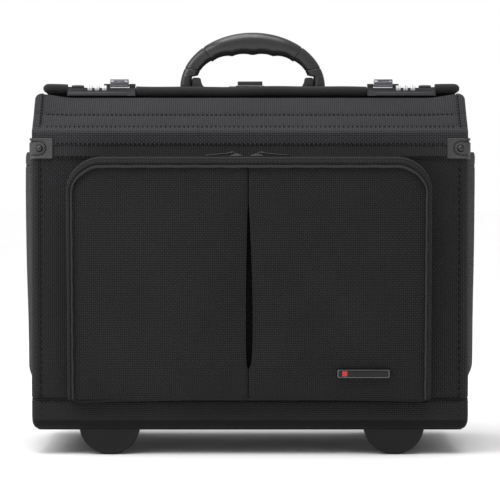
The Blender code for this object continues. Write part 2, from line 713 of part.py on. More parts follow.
# ---- feet and wheels ----
def feet():
    """Half discs under the front edge, each with a narrow flat to stand on."""
    top = BASE_Z - GAP
    start = math.asin((top - FOOT_CENTRE_Z) / FOOT_R)
    end = -math.asin(FOOT_CENTRE_Z / FOOT_R)
    angles = spread(start, end, 12)
    half = [(FOOT_R * math.cos(a), max(0.0, FOOT_CENTRE_Z + FOOT_R * math.sin(a))) for a in angles]
    for side in (-1, 1):
        middle = FOOT_SHIFT + side * FOOT_X
        outline = [(middle + x, z) for x, z in half] + [(middle - x, z) for x, z in reversed(half)]
        near = FRONT + 0.004
        outline_solid(side_name("foot", side), outline, "Y", near, near + FOOT_THICK, PLASTIC)


def wheel_housing(side):
    """A hood over a wheel, open below and behind, with a bore for the axle."""
    y, z = WHEEL_AXLE
    middle = side * WHEEL_X
    back = y + HOUSING_REACH
    corners = [(HOUSING_FRONT, 0.020, 0), (HOUSING_FRONT, HOUSING_TOP, 0), (y + 0.013, HOUSING_TOP, 0.012)]
    corners += [(back, z + 0.018, 0.010), (back, HOUSING_BOTTOM, 0.006), (y - 0.012, HOUSING_BOTTOM, 0.006)]
    name = side_name("wheel_housing", side)
    low, high = middle - HOUSING_HALF, middle + HOUSING_HALF
    shell = outline_solid(name, rounded(corners, 3), "X", low, high, PLASTIC)
    room, clear = WHEEL_WIDTH / 2 + 0.001, WHEEL_R + WHEEL_PLAY
    well = rod(f"wheel_room_{side}", clear, "X", (middle, y, z), room * 2, None, 28)
    below = cuboid(f"wheel_mouth_{side}", (middle - room, y - clear, -0.01), (middle + room, 0.2, z))
    bore = rod(f"housing_bore_{side}", AXLE_R + PIN_PLAY, "X", (middle, y, z), 0.06, None, 16)
    return cut(shell, well, below, bore)


def wheels():
    half = WHEEL_WIDTH / 2
    bore = AXLE_R + 0.0005
    profile = [(WHEEL_R - 0.004, half), (WHEEL_R - 0.001, half - 0.002), (WHEEL_R, half - 0.005)]
    profile += [(r, -h) for r, h in reversed(profile)]
    profile += [(bore, -half), (bore, half)]
    for side in (-1, 1):
        at = (side * WHEEL_X, *WHEEL_AXLE)
        wheel_housing(side)
        axle_pivot = pivot(side_name("wheel_spin", side), at)
        hang(axle_pivot, turned(side_name("wheel", side), profile, "X", at, TYRE, 32))
        rod(side_name("wheel_axle", side), AXLE_R, "X", at, HOUSING_HALF * 2 - 0.001, STEEL, 16)


# ---- pockets ----
def lean_back(obj):
    """Leans a piece with the front pocket, which is deepest at its top."""
    slope = (POCKET_DEPTH - POCKET_FOOT_DEPTH) / (POCKET_TOP - POCKET_BOTTOM)
    for vert in obj.data.vertices:
        if vert.co.y < FRONT - 0.004:
            vert.co.y += slope * (POCKET_TOP - vert.co.z)
    return obj


def pocket_outline(inset):
    half, corner = POCKET_HALF - inset, POCKET_CORNER - inset
    low, top = POCKET_BOTTOM + inset, POCKET_TOP - inset
    corners = [(-half, low, 0.004), (half, low, 0.004), (half, top, corner), (-half, top, corner)]
    return [(POCKET_SHIFT + x, z) for x, z in rounded(corners, 6)]


def front_pocket():
    """A cup of fabric, open towards the front panel that backs it."""
    face = FRONT - POCKET_DEPTH
    pocket = outline_solid("front_pocket", pocket_outline(0), "Y", face, FRONT - GAP, FABRIC)
    bevel(lean_back(pocket), 0.005, 2, 50)
    inner = pocket_outline(POCKET_WALL)
    room = outline_solid("pocket_room", inner, "Y", face + POCKET_WALL, FRONT + 0.01)
    cut(pocket, lean_back(room))
    low = (BADGE_X[0], face - GAP - BADGE_THICK, BADGE_Z[0])
    lean_back(cuboid("badge", low, (BADGE_X[1], face - GAP, BADGE_Z[1]), BADGE))


def zip_slider(side, near, far, tab_end):
    """A slider on the pocket's top, with a flat pull on a cross pin at its outer end."""
    top = POCKET_TOP + GAP
    pin_x, pin_z = far + side * 0.0002, top + PULL_PIN_RISE
    pin_at = (pin_x, ZIP_Y, pin_z)
    travel = pivot(side_name("zip_travel", side), (far, ZIP_Y, top))
    low, high = (near, ZIP_Y - SLIDER_HALF, top), (far, ZIP_Y + SLIDER_HALF, top + SLIDER_HEIGHT)
    slider = cuboid(side_name("zip_slider", side), low, high, BRIGHT)
    for edge in (-1, 1):
        low = (pin_x - 0.0016, ZIP_Y + edge * 0.0030, top + SLIDER_HEIGHT - 0.001)
        high = (pin_x + 0.0016, ZIP_Y + edge * 0.0044, pin_z + 0.0014)
        join(slider, cuboid(f"slider_ear_{side}_{edge}", low, high))
    join(slider, rod(f"slider_pin_{side}", 0.0006, "Y", pin_at, 0.0080, None, 8))
    hang(travel, slider)
    lift = pivot(side_name("zip_pull_hinge", side), pin_at, travel)
    half, end_z = PULL_THICK / 2, pin_z - PULL_DROOP
    blade = [(pin_x, pin_z + half), (tab_end, end_z + half), (tab_end, end_z - half), (pin_x, pin_z - half)]
    low, high = ZIP_Y - PULL_HALF, ZIP_Y + PULL_HALF
    pull = outline_solid(side_name("zip_pull", side), blade, "Y", low, high, BRIGHT)
    join(pull, rod(f"pull_eye_{side}", 0.0013, "Y", pin_at, PULL_HALF * 2, None, 12))
    cut(pull, rod(f"pull_bore_{side}", 0.0009, "Y", pin_at, 0.02, None, 8))
    hang(lift, pull)


def zip_sliders():
    zip_slider(-1, -0.0077, -0.0197, -0.0496)
    zip_slider(1, 0.0003, 0.0133, 0.0440)


def side_pockets():
    """Slip pockets on the ends, open at the top and backed by the side panels."""
    low_y, high_y = SIDE_POCKET_Y
    low_z, high_z = SIDE_POCKET_Z
    wall = SIDE_POCKET_WALL
    for side in (-1, 1):
        near, far = side * (SIDE + GAP), side * (SIDE + SIDE_POCKET_DEPTH)
        name = side_name("side_pocket", side)
        pocket = cuboid(name, (near, low_y, low_z), (far, high_y, high_z), FABRIC, 0.0035)
        deep = far - side * wall
        room_low = (near - side * 0.01, low_y + wall, low_z + wall)
        cut(pocket, cuboid(f"side_room_{side}", room_low, (deep, high_y - wall, 0.4)))


def build():
    bottom_tray()
    front_panel()
    back_panel()
    side_panels()
    trolley_deck()
    tube_cover()
    corner_guards()
    front_flap()
    lid_hinge = pivot("rear_lid_hinge", (0, *LID_HINGE))
    rear_lid(lid_hinge)
    carry_handle(lid_hinge)
    locks(lid_hinge)
    trolley()
    feet()
    wheels()
    front_pocket()
    zip_sliders()
    side_pockets()


build()
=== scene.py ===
"""The looks of a rolling pilot case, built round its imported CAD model.

Every soft part of the case is made again here as cloth: the walls, the flap and its hinge strip, the
lid, the pockets and their trims. Hard parts keep their CAD shape, or are made again in more detail.

Units are metres. +Z is up, the front faces -Y and +X is the right of someone facing the case.
"""

import math
from contextlib import contextmanager

import bmesh
import bpy
import numpy as np
from mathutils import Matrix, Vector


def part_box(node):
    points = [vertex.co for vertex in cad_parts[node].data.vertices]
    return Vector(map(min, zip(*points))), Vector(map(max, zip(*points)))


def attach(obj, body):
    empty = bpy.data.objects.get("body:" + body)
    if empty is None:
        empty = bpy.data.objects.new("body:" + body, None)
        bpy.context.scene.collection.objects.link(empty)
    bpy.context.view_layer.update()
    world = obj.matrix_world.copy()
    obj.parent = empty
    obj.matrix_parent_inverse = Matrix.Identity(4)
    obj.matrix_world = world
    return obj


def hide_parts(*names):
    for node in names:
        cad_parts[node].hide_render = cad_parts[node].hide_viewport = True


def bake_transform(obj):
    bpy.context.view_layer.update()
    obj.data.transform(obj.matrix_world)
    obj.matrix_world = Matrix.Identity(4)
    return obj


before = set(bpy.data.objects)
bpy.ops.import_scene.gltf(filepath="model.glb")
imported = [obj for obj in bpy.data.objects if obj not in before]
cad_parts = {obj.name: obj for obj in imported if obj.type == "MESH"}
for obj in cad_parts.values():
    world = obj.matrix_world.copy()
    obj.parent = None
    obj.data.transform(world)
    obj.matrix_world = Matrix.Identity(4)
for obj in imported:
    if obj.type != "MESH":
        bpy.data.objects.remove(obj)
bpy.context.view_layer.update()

# ---- places from the frame ----
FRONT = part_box("front_panel")[0].y
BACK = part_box("back_panel")[1].y
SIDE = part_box("side_panel_right")[1].x
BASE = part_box("bottom_tray")[0].z
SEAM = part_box("bottom_tray")[1].z
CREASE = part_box("front_panel")[1].z
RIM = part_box("side_panel_right")[1].z
BACK_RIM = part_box("back_panel")[1].z
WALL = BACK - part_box("back_panel")[0].y
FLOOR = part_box("trolley_foot")[0].z
GUARD_LOW, GUARD_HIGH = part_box("corner_guard_right")
LID_LOW, LID_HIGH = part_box("rear_lid")
ROLL_LOW, ROLL_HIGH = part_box("lid_edge_roll")
POCKET_LOW, POCKET_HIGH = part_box("front_pocket")

# ---- sizes of the soft work ----
FLAP_SLOPE = math.radians(34.2)
FLAP_LENGTH = 0.0698
FLAP_THICK = 0.006
CORNER = 0.0055  # radius of the case's vertical edges
FOOT_ROUND, FOOT_INSET = 0.0120, 0.0060  # the case's lower edges: their height and depth
HEM_STEP = 0.0008  # a doubled layer of cloth
HEM_ROW = 0.0098  # from an edge to the row of thread beside it
BAND_Z = GUARD_LOW.z  # lower edge of the doubled band under the flap
STITCH_PITCH, SIDE_STITCH_PITCH = 0.0050, 0.0074
SMALLEST_GAP = 0.00009  # between two grid lines
SURFACE_ANGLE, PART_ANGLE, NODE_ANGLE = 48, 40, 38  # sharper edges than these keep their crease
X, Y, Z = np.eye(3)


# ---- small tools ----
def smooth(t):
    t = np.clip(t, 0.0, 1.0)
    return t * t * (3 - 2 * t)


def bump(x, middle, width):
    return np.exp(-(((x - middle) / width) ** 2))


def quarter(distance, radius):
    """Height of a rounded edge at a distance in from it, from 0 to 1."""
    t = np.clip(distance / radius, 0.0, 1.0)
    return np.sqrt(1 - (1 - t) ** 2)


def ticks(low, high, step, *features, edge=0.0035):
    """Grid lines from low to high: closer at both ends, and round each feature line."""
    marks = list(np.linspace(low, high, max(2, int(round((high - low) / step)) + 1)))
    for share in (0.04, 0.15, 0.32, 0.55, 0.8):
        marks += [low + edge * share, high - edge * share]
    for line in features:
        marks += [line + d for d in (-0.0024, -0.0012, -0.0005, 0.0, 0.0005, 0.0012, 0.0024)]
    marks = sorted(m for m in marks if low <= m <= high)
    kept = [marks[0]]
    for mark in marks[1:]:
        if mark - kept[-1] > SMALLEST_GAP:
            kept.append(mark)
    kept[-1] = high
    return np.array(kept)


def mm(origin, *pairs, flip=1):
    """Points from pairs in millimetres, measured from an origin. flip=-1 mirrors the first axis."""
    return [(origin[0] + flip * a / 1000, origin[1] + b / 1000) for a, b in pairs]


def side_name(name, side):
    return f"{name}_{'left' if side < 0 else 'right'}"


def put(obj, body, slot, *replaced, fill=None):
    """Hands a piece over to its body, and hides the CAD nodes it replaces. slot and fill are not used."""
    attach(obj, body)
    if replaced:
        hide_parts(*replaced)
    return obj


def link(name, data):
    obj = bpy.data.objects.new(name, data)
    bpy.context.scene.collection.objects.link(obj)
    return obj


def shade(mesh, angle=SURFACE_ANGLE):
    """Smooth shading, with edges above the angle left sharp."""
    mesh.shade_smooth()
    mesh.set_sharp_from_angle(angle=math.radians(angle))


@contextmanager
def editing(obj):
    """A bmesh of the piece. Its faces are turned outwards as it closes."""
    bm = bmesh.new()
    bm.from_mesh(obj.data)
    yield bm
    bmesh.ops.recalc_face_normals(bm, faces=bm.faces)
    bm.to_mesh(obj.data)
    bm.free()


def outward(obj):
    with editing(obj):
        return obj


def evaluated(obj):
    return obj.evaluated_get(bpy.context.evaluated_depsgraph_get())


def add_mesh(name, points, faces, materials, uvs=None, paint=None):
    mesh = bpy.data.meshes.new(name)
    mesh.from_pydata([tuple(map(float, p)) for p in points], [], faces)
    for material in materials:
        mesh.materials.append(material)
    if uvs is not None:
        mesh.uv_layers.new(name="cloth").data.foreach_set("uv", np.asarray(uvs, np.float32).ravel())
    if paint is not None:
        mesh.polygons.foreach_set("material_index", np.asarray(paint, np.int32))
    mesh.validate()
    shade(mesh)
    return link(name, mesh)


def running(points):
    """Distance along a path at each of its points."""
    steps = np.linalg.norm(np.diff(points, axis=0), axis=1)
    return np.concatenate([[0.0], np.cumsum(steps)])


def surface(name, grid, materials, loop=False, ring=False, caps=False, paint=None):
    """Quads over rows and columns of points. loop joins the last row to the first, and ring the last column
    to the first. The cloth map holds lengths in metres. paint(row, column) picks a face's material."""
    grid = np.asarray(grid, float)
    rows, cols = grid.shape[:2]
    down = list(range(rows)) + [0] * loop
    along = list(range(cols)) + [0] * ring
    full = grid[np.ix_(down, along)]
    widths, heights = (np.linalg.norm(np.diff(full, axis=k), axis=2).mean(1 - k) for k in (1, 0))
    u, v = (np.concatenate([[0.0], np.cumsum(steps)]) for steps in (widths, heights))
    faces, uvs, colors = [], [], []
    for i in range(len(down) - 1):
        for j in range(len(along) - 1):
            a, b = down[i] * cols, down[i + 1] * cols
            faces.append((a + along[j], a + along[j + 1], b + along[j + 1], b + along[j]))
            uvs += [(u[j], v[i]), (u[j + 1], v[i]), (u[j + 1], v[i + 1]), (u[j], v[i + 1])]
            colors.append(paint(i, j) if paint else 0)
    points = grid.reshape(-1, 3)
    if caps:
        last = (rows - 1) * cols
        for cap in (list(range(cols))[::-1], list(range(last, last + cols))):
            faces.append(cap)
            uvs += [(points[k][0], points[k][2]) for k in cap]
            colors.append(0)
    return add_mesh(name, points, faces, materials, uvs, colors)


def unit(vectors):
    return vectors / np.maximum(np.linalg.norm(vectors, axis=-1, keepdims=True), 1e-12)


def swept(path, profile, up, ring=False):
    """Sections of a profile (side, up) set square along a path. The profile may differ at each point."""
    path = np.asarray(path, float)
    if ring:
        tangent = unit(np.roll(path, -1, 0) - np.roll(path, 1, 0))
    else:
        tangent = unit(np.gradient(path, axis=0))
    up = np.broadcast_to(np.asarray(up, float), path.shape)
    side = unit(np.cross(tangent, up))
    rise = np.cross(side, tangent)
    profile = np.broadcast_to(np.asarray(profile, float), (len(path),) + np.asarray(profile).shape[-2:])
    return path[:, None] + side[:, None] * profile[..., 0:1] + rise[:, None] * profile[..., 1:2]


def ellipse(half_width, half_height, count=12, power=2.0):
    angles = np.arange(count) * 2 * math.pi / count
    c, s = np.cos(angles), np.sin(angles)
    across, rise = (np.sign(w) * np.abs(w) ** (2 / power) for w in (c, s))
    return np.stack([half_width * across, half_height * rise], axis=1)


def rod(name, path, profile, up, material):
    """A closed solid swept along a path, with flat ends."""
    return outward(surface(name, swept(path, profile, up), [material], ring=True, caps=True))


def cord(name, path, radius, material, up=Z, sides=10, ring=False):
    """A round cord along a path, with rounded ends."""
    scale = np.ones(len(path))
    if not ring:
        scale[[0, -1]] = 0.35
        scale[[1, -2]] = 0.8
    profile = ellipse(radius, radius, sides)[None] * scale[:, None, None]
    return outward(surface(name, swept(path, profile, up, ring), [material], loop=ring, ring=True, caps=not ring))


def resample(path, step):
    """The same path with points evenly spaced."""
    path = np.asarray(path, float)
    s = running(path)
    at = np.linspace(0, s[-1], max(2, int(round(s[-1] / step)) + 1))
    return np.stack([np.interp(at, s, path[:, k]) for k in range(3)], axis=1)


def tube_faces(start, rings, sides=6):
    """Faces of a short closed tube whose points begin at start."""
    faces = []
    for k in range(rings - 1):
        a, b = start + sides * k, start + sides * (k + 1)
        faces += [(a + m, a + (m + 1) % sides, b + (m + 1) % sides, b + m) for m in range(sides)]
    last = start + sides * (rings - 1)
    return faces + [tuple(range(start, start + sides))[::-1], tuple(range(last, last + sides))]


def stitches(name, rows, body, length=0.0026, radius=0.00072, pitch=STITCH_PITCH):
    """Rows of thread: each stitch is a short arch whose ends go into the cloth. A row is a path with
    the cloth's outward normal at each of its points."""
    arch = [(-0.5, -0.9), (-0.36, 0.25), (-0.12, 0.75), (0.12, 0.75), (0.36, 0.25), (0.5, -0.9)]
    ring = ellipse(radius, radius * 0.8, 6)
    points, faces = [], []
    for path, normal in rows:
        even = resample(path, pitch)
        normals = unit(np.broadcast_to(np.asarray(normal, float), even.shape))
        tangents = unit(np.gradient(even, axis=0))
        for centre, direction, out in zip(even[1:-1], tangents[1:-1], normals[1:-1]):
            side = np.cross(direction, out)
            faces += tube_faces(len(points), len(arch))
            for along, rise in arch:
                middle = centre + direction * along * length + out * rise * radius * 1.6
                points += [middle + side * a + out * b for a, b in ring]
    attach(outward(add_mesh(name, points, faces, [THREAD])), body)


def corner_square(du, dv, radius):
    """How far a point near a square corner moves in, so that the corner turns into an arc."""
    p, q = np.maximum(radius - du, 0), np.maximum(radius - dv, 0)
    length = np.hypot(p, q)
    scale = np.where(length > 0, np.maximum(p, q) / np.maximum(length, 1e-12), 1.0)
    return p * (1 - scale), q * (1 - scale)


def pad(name, us, vs, place, top, bottom, materials, edge=0.003, round_corner=0.0):
    """A closed padded board over grid lines us and vs. place(u, v, h) puts a point at height h. top and
    bottom are the two faces' heights: a number, or a function of u and v. The edges are rounded."""
    u, v = np.meshgrid(us, vs)
    du = np.minimum(u - us[0], us[-1] - u)
    dv = np.minimum(v - vs[0], vs[-1] - v)
    shape = quarter(du, edge) * quarter(dv, edge)
    if round_corner:
        in_u, in_v = corner_square(du, dv, round_corner)
        u = u + np.sign((us[0] + us[-1]) / 2 - u) * in_u
        v = v + np.sign((vs[0] + vs[-1]) / 2 - v) * in_v
    high, low = (level(u, v) if callable(level) else 0 * u + level for level in (top, bottom))
    middle = (high + low) / 2
    upper = place(u, v, middle + (high - middle) * shape)
    lower = place(u, v, middle + (low - middle) * shape)
    rows, cols = u.shape
    points = np.concatenate([upper.reshape(-1, 3), lower.reshape(-1, 3)])
    border = (np.arange(rows)[:, None] % (rows - 1) == 0) | (np.arange(cols)[None] % (cols - 1) == 0)
    index = np.arange(rows * cols).reshape(rows, cols)
    other = np.where(border, index, index + rows * cols)
    faces, uvs, paint = [], [], []
    for i in range(rows - 1):
        for j in range(cols - 1):
            corners = [(i, j), (i, j + 1), (i + 1, j + 1), (i + 1, j)]
            for order, layer, material in ((corners, index, 0), (corners[::-1], other, len(materials) - 1)):
                faces.append([int(layer[c]) for c in order])
                uvs += [(us[b], vs[a]) for a, b in order]
                paint.append(material)
    used = np.unique(np.concatenate(faces))
    renumber = {int(k): n for n, k in enumerate(used)}
    faces = [tuple(renumber[k] for k in face) for face in faces]
    return outward(add_mesh(name, points[used], faces, materials, uvs, paint))


def turned(name, profile, centre, axis, material, steps=40, closed=False):
    """A (radius, height) profile turned about an axis through centre."""
    angles = np.arange(steps) * 2 * math.pi / steps
    profile = np.asarray(profile, float)
    across, along = {"X": ((1, 2), 0), "Y": ((2, 0), 1), "Z": ((0, 1), 2)}[axis]
    grid = np.zeros((len(profile), steps, 3))
    grid[:, :, across[0]] = profile[:, :1] * np.cos(angles)
    grid[:, :, across[1]] = profile[:, :1] * np.sin(angles)
    grid[:, :, along] = profile[:, 1:]
    grid += np.asarray(centre, float)
    obj = surface(name, grid, [material], loop=closed, ring=True, caps=not closed)
    with editing(obj) as bm:
        bmesh.ops.remove_doubles(bm, verts=bm.verts, dist=1e-7)
    obj.data.set_sharp_from_angle(angle=math.radians(SURFACE_ANGLE))
    return obj


def from_bmesh(name, bm, material):
    mesh = bpy.data.meshes.new(name)
    bmesh.ops.recalc_face_normals(bm, faces=bm.faces)
    bm.to_mesh(mesh)
    bm.free()
    mesh.materials.append(material)
    shade(mesh, PART_ANGLE)
    return link(name, mesh)


def block(name, low, high, material, edge=0.0008, segments=3):
    """A box with rounded edges."""
    low, high = np.minimum(low, high), np.maximum(low, high)
    bm = bmesh.new()
    size = Matrix.Diagonal((*(high - low), 1))
    bmesh.ops.create_cube(bm, size=1, matrix=Matrix.Translation((low + high) / 2) @ size)
    bmesh.ops.bevel(bm, geom=bm.edges[:], offset=edge, segments=segments, affect="EDGES", profile=0.5)
    return from_bmesh(name, bm, material)


def prism(name, outline, axis, low, high, material, edge):
    """A flat outline pushed along an axis: (y, z) points for X, or (x, z) points for Y."""
    bm = bmesh.new()
    put_at = {"X": lambda a, b, t: (t, a, b), "Y": lambda a, b, t: (a, t, b)}[axis]
    near, far = ([bm.verts.new(put_at(a, b, level)) for a, b in outline] for level in (low, high))
    for k, n in zip(range(len(outline)), [*range(1, len(outline)), 0]):
        bm.faces.new((near[k], near[n], far[n], far[k]))
    bm.faces.new(near[::-1])
    bm.faces.new(far)
    bmesh.ops.recalc_face_normals(bm, faces=bm.faces)
    sharp = [e for e in bm.edges if e.calc_face_angle(0) > math.radians(30)]
    bmesh.ops.bevel(bm, geom=sharp, offset=edge, segments=2, affect="EDGES", profile=0.5)
    return from_bmesh(name, bm, material)


def merge(name, objects):
    """Joins pieces into one, and keeps their materials."""
    bpy.ops.object.select_all(action="DESELECT")
    for obj in objects:
        obj.select_set(True)
    bpy.context.view_layer.objects.active = objects[0]
    bpy.ops.object.join()
    objects[0].name = objects[0].data.name = name
    return objects[0]


def carve(obj, *cutters):
    """Takes the cutters' space out of a piece."""
    for cutter in cutters:
        modifier = obj.modifiers.new("carve", "BOOLEAN")
        modifier.operation, modifier.solver, modifier.object = "DIFFERENCE", "EXACT", cutter
    bpy.context.view_layer.update()
    shape = bpy.data.meshes.new_from_object(evaluated(obj))
    obj.modifiers.clear()
    obj.data = shape
    for cutter in cutters:
        bpy.data.objects.remove(cutter, do_unlink=True)
    return obj


def thicken(obj, thickness):
    """Gives an open sheet its thickness, inwards from its outer face."""
    modifier = obj.modifiers.new("cloth_thickness", "SOLIDIFY")
    modifier.thickness, modifier.offset, modifier.use_even_offset = thickness, -1.0, False


CLOTH = {
    "quality": 6, "mass": 0.25, "tension_stiffness": 25, "compression_stiffness": 25, "shear_stiffness": 8,
    "bending_stiffness": 4.0, "vertex_group_mass": "held", "pin_stiffness": 6, "use_pressure": True,
}


def simulate(obj, free, pressure, cap, frames):
    """Lets the cloth settle under a light pressure. free is each point's freedom to move, from 0 to 1,
    and no point moves further than cap."""
    rest = np.array([v.co for v in obj.data.vertices])
    pins = obj.vertex_groups.new(name="held")
    for index, value in enumerate(free):
        if value < 0.999:
            pins.add([index], 1 - float(value), "REPLACE")
    modifier = obj.modifiers.new("settle", "CLOTH")
    for key, value in CLOTH.items():
        setattr(modifier.settings, key, value)
    modifier.settings.uniform_pressure_force = pressure
    modifier.settings.effector_weights.gravity = 0.0
    modifier.collision_settings.use_collision = False
    modifier.point_cache.frame_start, modifier.point_cache.frame_end = 1, frames
    scene = bpy.context.scene
    for number in range(1, frames + 1):
        scene.frame_set(number)
    moved = np.array([v.co for v in evaluated(obj).to_mesh().vertices]) - rest
    obj.modifiers.clear()
    scene.frame_set(1)
    size = np.linalg.norm(moved, axis=1, keepdims=True)
    share = np.asarray(free)[:, None] * cap * np.tanh(size / cap) / np.maximum(size, 1e-9)
    obj.data.vertices.foreach_set("co", (rest + moved * share).astype(np.float32).ravel())
    obj.data.update()


# ---- materials ----
def node(tree, kind, inputs=None, **settings):
    made = tree.nodes.new("ShaderNode" + kind)
    for key, value in settings.items():
        setattr(made, key, value)
    for key, value in (inputs or {}).items():
        if isinstance(value, bpy.types.NodeSocket):
            tree.links.new(value, made.inputs[key])
        else:
            made.inputs[key].default_value = value
    return made


def calc(tree, operation, a, b=0.0, c=0.0):
    return node(tree, "Math", {0: a, 1: b, 2: c}, operation=operation).outputs[0]


def times(tree, a, b):
    return calc(tree, "MULTIPLY", a, b)


def noise(tree, vector, scale, detail=3.0, roughness=0.55):
    inputs = {"Vector": vector, "Scale": scale, "Detail": detail, "Roughness": roughness}
    return node(tree, "TexNoise", inputs).outputs["Fac"]


def stretch(tree, vector, scale):
    return node(tree, "Mapping", {"Vector": vector, "Scale": scale}).outputs[0]


def spread(tree, value, low, high, to_low=0.0, to_high=1.0):
    inputs = {"Value": value, "From Min": low, "From Max": high, "To Min": to_low, "To Max": to_high}
    return node(tree, "MapRange", inputs).outputs[0]


def start(name, color, roughness, **constants):
    """A Principled material, with constants on the shader's own sockets."""
    material = bpy.data.materials.new(name)
    material.use_nodes = True
    tree = material.node_tree
    shader = tree.nodes["Principled BSDF"]
    shader.inputs["Base Color"].default_value = (*color, 1.0)
    shader.inputs["Roughness"].default_value = roughness
    for key, value in constants.items():
        shader.inputs[key.replace("_", " ")].default_value = value
    material.diffuse_color = (*color, 1.0)
    return material, tree, shader


def tint(tree, shader, color, factor):
    made = node(tree, "VectorMath", {0: color}, operation="SCALE")
    tree.links.new(factor, made.inputs["Scale"])
    tree.links.new(made.outputs[0], shader.inputs["Base Color"])


def finish_shader(tree, shader, rough, height, depth):
    tree.links.new(rough, shader.inputs["Roughness"])
    made = node(tree, "Bump", {"Height": height, "Distance": depth, "Strength": 1.0})
    tree.links.new(made.outputs[0], shader.inputs["Normal"])


def yarn_height(tree, coords, pitch, ratio):
    """Height of a plain weave, 0 to 1, and which of its two yarns is on top."""
    axes = node(tree, "SeparateXYZ", {0: coords}).outputs
    u = calc(tree, "DIVIDE", axes[0], pitch)
    v = calc(tree, "DIVIDE", axes[1], pitch * ratio)
    cell = calc(tree, "ADD", calc(tree, "FLOOR", u), calc(tree, "FLOOR", v))
    over = calc(tree, "FLOORED_MODULO", cell, 2.0)
    round_u, round_v = (calc(tree, "ABSOLUTE", calc(tree, "SINE", times(tree, w, math.pi))) for w in (u, v))
    warp = times(tree, round_u, calc(tree, "MULTIPLY_ADD", round_v, 0.5, 0.5))
    weft = times(tree, round_v, calc(tree, "MULTIPLY_ADD", round_u, 0.5, 0.5))
    mixed = node(tree, "Mix", {"Factor": over, "A": warp, "B": weft}, data_type="FLOAT").outputs[0]
    return mixed, over


def fabric(name, color, pitch=0.0022, ratio=1.0, depth=0.0006, roughness=0.82, contrast=1.25, flat=None):
    """Woven cloth: yarns with their own height and tone, and a slow change of shade. flat names the two
    axes to weave along on a piece with no cloth map."""
    sheen = {"Sheen_Weight": 0.05, "Sheen_Roughness": 0.5, "Specular_IOR_Level": 0.16}
    material, tree, shader = start(name, color, roughness, **sheen)
    place = node(tree, "TexCoord").outputs["Object"]
    if flat:
        axes = node(tree, "SeparateXYZ", {0: place}).outputs
        first, second = (axes["XYZ".index(a)] for a in flat)
        coords = node(tree, "CombineXYZ", {0: first, 1: second}).outputs[0]
    else:
        coords = node(tree, "UVMap", uv_map="cloth").outputs[0]
    height, over = yarn_height(tree, coords, pitch, ratio)
    slub = noise(tree, stretch(tree, coords, (220, 9000, 1)), 1.0, 2.0)
    patch = noise(tree, place, 14.0, 3.0)
    fuzz = noise(tree, place, 900.0, 2.0)
    # Painted shade in the weave: the hollows between yarns are darker than their crowns.
    tone = calc(tree, "MULTIPLY_ADD", height, contrast, 1.0 - contrast * 0.55)
    tone = calc(tree, "MULTIPLY_ADD", over, -0.34, tone)
    for uneven in (patch, slub):
        tone = times(tree, tone, spread(tree, uneven, 0.3, 0.7, 0.90, 1.10))
    tint(tree, shader, color, tone)
    worn = calc(tree, "ADD", fuzz, times(tree, height, 0.4))
    rough = spread(tree, worn, 0.3, 1.0, roughness + 0.1, roughness - 0.12)
    finish_shader(tree, shader, rough, calc(tree, "MULTIPLY_ADD", fuzz, 0.35, height), depth)
    return material


def webbing(name, color, pitch=0.0009, depth=0.0002):
    """Ribbed binding tape."""
    return fabric(name, color, pitch, 0.6, depth, 0.7, 0.45)


def plastic(name, color, roughness, grain=900.0, depth=0.00006, wear=0.25, leather=0.0, **more):
    """Moulded plastic: a fine spark texture, scuffs, and edges polished lighter by wear."""
    material, tree, shader = start(name, color, roughness, **more)
    place = node(tree, "TexCoord").outputs["Object"]
    fine = noise(tree, place, grain, 3.0)
    cloudy = noise(tree, place, 22.0, 4.0)
    scuff = noise(tree, stretch(tree, place, (60, 260, 40)), 1.0, 6.0, 0.7)
    edges = spread(tree, node(tree, "NewGeometry").outputs["Pointiness"], 0.52, 0.62)
    tone = calc(tree, "MULTIPLY_ADD", edges, wear, spread(tree, cloudy, 0.3, 0.7, 0.92, 1.08))
    tone = times(tree, tone, spread(tree, fine, 0.3, 0.7, 0.93, 1.07))
    tint(tree, shader, color, tone)
    scuffed = spread(tree, scuff, 0.35, 0.75, roughness - 0.07, roughness + 0.10)
    rough = calc(tree, "ADD", scuffed, spread(tree, fine, 0.3, 0.7, -0.04, 0.04))
    height = fine
    if leather:
        inputs = {"Vector": place, "Scale": leather}
        cells = node(tree, "TexVoronoi", inputs, feature="DISTANCE_TO_EDGE").outputs["Distance"]
        height = calc(tree, "MULTIPLY_ADD", spread(tree, cells, 0.0, 0.25), 1.2, fine)
    finish_shader(tree, shader, rough, height, depth)
    return material


def metal(name, color, roughness, brush=(40, 900, 900)):
    """Metal with fine brushing along one axis, and faint smears."""
    material, tree, shader = start(name, color, roughness, Metallic=1.0)
    place = node(tree, "TexCoord").outputs["Object"]
    lines = noise(tree, stretch(tree, place, brush), 1.0, 4.0, 0.6)
    smear = noise(tree, place, 60.0, 3.0)
    edges = spread(tree, node(tree, "NewGeometry").outputs["Pointiness"], 0.52, 0.60)
    tint(tree, shader, color, calc(tree, "MULTIPLY_ADD", edges, 0.25, spread(tree, lines, 0.3, 0.7, 0.88, 1.06)))
    streaks = spread(tree, lines, 0.3, 0.7, -0.05, 0.07)
    smears = spread(tree, smear, 0.3, 0.7, roughness - 0.04, roughness + 0.06)
    finish_shader(tree, shader, calc(tree, "ADD", streaks, smears), lines, 0.00002)
    return material


